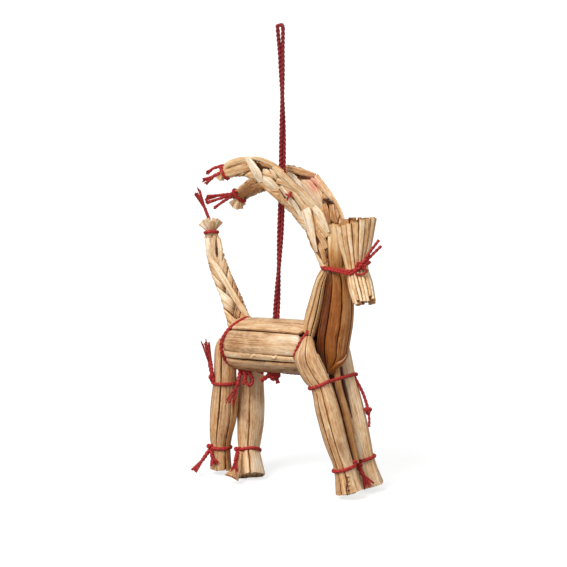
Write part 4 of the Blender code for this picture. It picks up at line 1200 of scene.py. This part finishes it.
def make_cord(threads):
    """Hanging cord of two-ply thread, and the knot under the belly that holds it."""
    lay_knot(threads.tail, (-5.8, -0.5, 38.9), 4.4, 0.0, 1.7)
    lay_knot(threads.tail, (-5.3, -0.7, 39.1), 3.8, 1.2, 1.7)
    loose_end(threads, [(-6.9, -1.3, 38.7), (-8.1, -2.3, 37.8), (-9.3, -3.4, 36.6)], width=1.9)
    loose_end(threads, [(-5.2, -0.3, 38), (-4.6, -0.1, 36.9), (-4.2, -0.1, 35.7)], width=1.6)
    loose_end(threads, [(-4.6, 0.5, 39.9), (-0.5, 0.9, 39.8), (4.4, 1.9, 39.9)], width=1.0)
    knot = threads.join("belly_knot_thread", ["belly_knot"], "red_cord")

    kit = StrawKit(model_straw("cord_thread", 10, 560))
    kit.steps = 560
    line = lay_thread(kit, cord_route(), width=CORD * 1.13, twist=3.2)
    cord = kit.join("hanging_cord_thread", CORD_COTTON, "red_cord", ["hanging_cord"])
    bpy.data.objects.remove(kit.template, do_unlink=True)


def make_stem(kit):
    """Brown stem with its nodes, a flat dark straw beside it and a thin dark strip of painted shade in the
    slit next to it, between the front legs.
    """
    stem = [(20.6, 0.2, 45), (22.5, -1.1, 38.3), (24.3, -1.3, 33.5), (25.9, -1.3, 28.7), (28, -1.3, 20.7),
            (30.4, -1.1, 11.6)]
    rows = [(*point, size) for point, size in zip(stem, (1.1, 1.25, 1.2, 1.15, 1.05, 0.8))]
    path = Path(rows, RIGHT, 120)

    def place_of(across, out, along):
        place, side, deep, _, sizes = path.at(along)
        run = along * path.length
        node = 0.22 * (np.exp(-((run - 19.0) / 0.5) ** 2) + np.exp(-((run - 24.6) / 0.5) ** 2))
        size = sizes[:, 0] + node
        return place + side * (across * size)[:, None] + deep * (out * size)[:, None]

    kit.warmth = 1.0
    kit.lay(place_of, 6.0, path.length, 0.72)
    ribbon(kit, [(17.2, 1.4, 42.2), (19.9, 0.6, 35.5), (23.6, 0.8, 24), (27.2, 0.7, 11.9)],
           [1.6, 2.4, 2.4, 1.6], BACK, tone=0.2)
    # Painted shade: thin dark strip in the slit beside the stem
    ribbon(kit, [(21.5, 2, 44.8), (23.1, 1.2, 39.2), (24.3, 1, 35.5), (25.5, 0.9, 31.8),
                 (26.8, 1.1, 26.9)], [0.8, 1.2, 1.2, 0.8, 0.3], BACK, tone=0.06, thick=0.4)
    kit.join("loose_stem_straw", BROWN_STRAW, "dark_straw", ["loose_stem"])


# Floor and light


def make_stage():
    """White table lit so that shadows are faint, a soft key from the upper left and an even sky."""
    deselect()
    bpy.ops.mesh.primitive_plane_add(size=12.0, location=(0, 0, -0.0002))
    floor = bpy.context.object
    floor.name = "pale_floor"
    made, tree, shader = new_material("matt_white_board")
    shader.inputs["Base Color"].default_value = linear("#A8A8A8")
    shader.inputs["Roughness"].default_value = 0.9
    shader.inputs["Specular IOR Level"].default_value = 0.1
    shader.inputs["Emission Color"].default_value = linear("#FFFFFF")
    looked_at = add(tree, "ShaderNodeLightPath").outputs["Is Camera Ray"]
    glow = add(tree, "ShaderNodeMath", {"operation": "MULTIPLY"}, {0: looked_at})
    glow.inputs[1].default_value = BOARD_GLOW
    tree.links.new(glow.outputs[0], shader.inputs["Emission Strength"])
    floor.data.materials.append(made)
    deselect()

    away = Vector((-RIGHT.y, RIGHT.x, 0))
    for name, energy, angle, toward in (
        ("key_light", 2.7, 34, RIGHT * -0.75 - away * 0.9 + Vector((0, 0, 1.25))),
        ("fill_light", 0.5, 60, RIGHT * 0.8 - away * 0.6 + Vector((0, 0, 0.5))),
    ):
        light = bpy.data.lights.new(name, "SUN")
        light.energy = energy
        light.angle = math.radians(angle)
        lamp = bpy.data.objects.new(name, light)
        bpy.context.scene.collection.objects.link(lamp)
        lamp.rotation_euler = toward.to_track_quat("Z", "Y").to_euler()

    world = bpy.data.worlds.new("even_sky")
    world.use_nodes = True
    sky = world.node_tree.nodes["Background"]
    sky.inputs["Color"].default_value = linear("#FFFFFF")
    looked_at = add(world.node_tree, "ShaderNodeLightPath").outputs["Is Camera Ray"]
    strength = add(world.node_tree, "ShaderNodeMapRange", links={"Value": looked_at},
                   To_Min=SKY_STRENGTH, To_Max=1.0)
    world.node_tree.links.new(strength.outputs[0], sky.inputs["Strength"])
    bpy.context.scene.world = world
    bpy.context.scene.view_settings.view_transform = "Standard"


def main():
    make_camera()
    threads = ThreadKits()
    make_cord(threads)
    straw = model_straw("straw_template", 16, STRAW_STEPS)
    kit = StrawKit(straw, squareness=0.7)
    make_barrel(kit)
    make_legs(kit)
    make_neck(kit)
    make_head(kit)
    make_plaits(kit)
    make_stem(kit)
    make_ties(threads)
    threads.remove()
    bpy.data.objects.remove(straw, do_unlink=True)
    make_stage()


main()
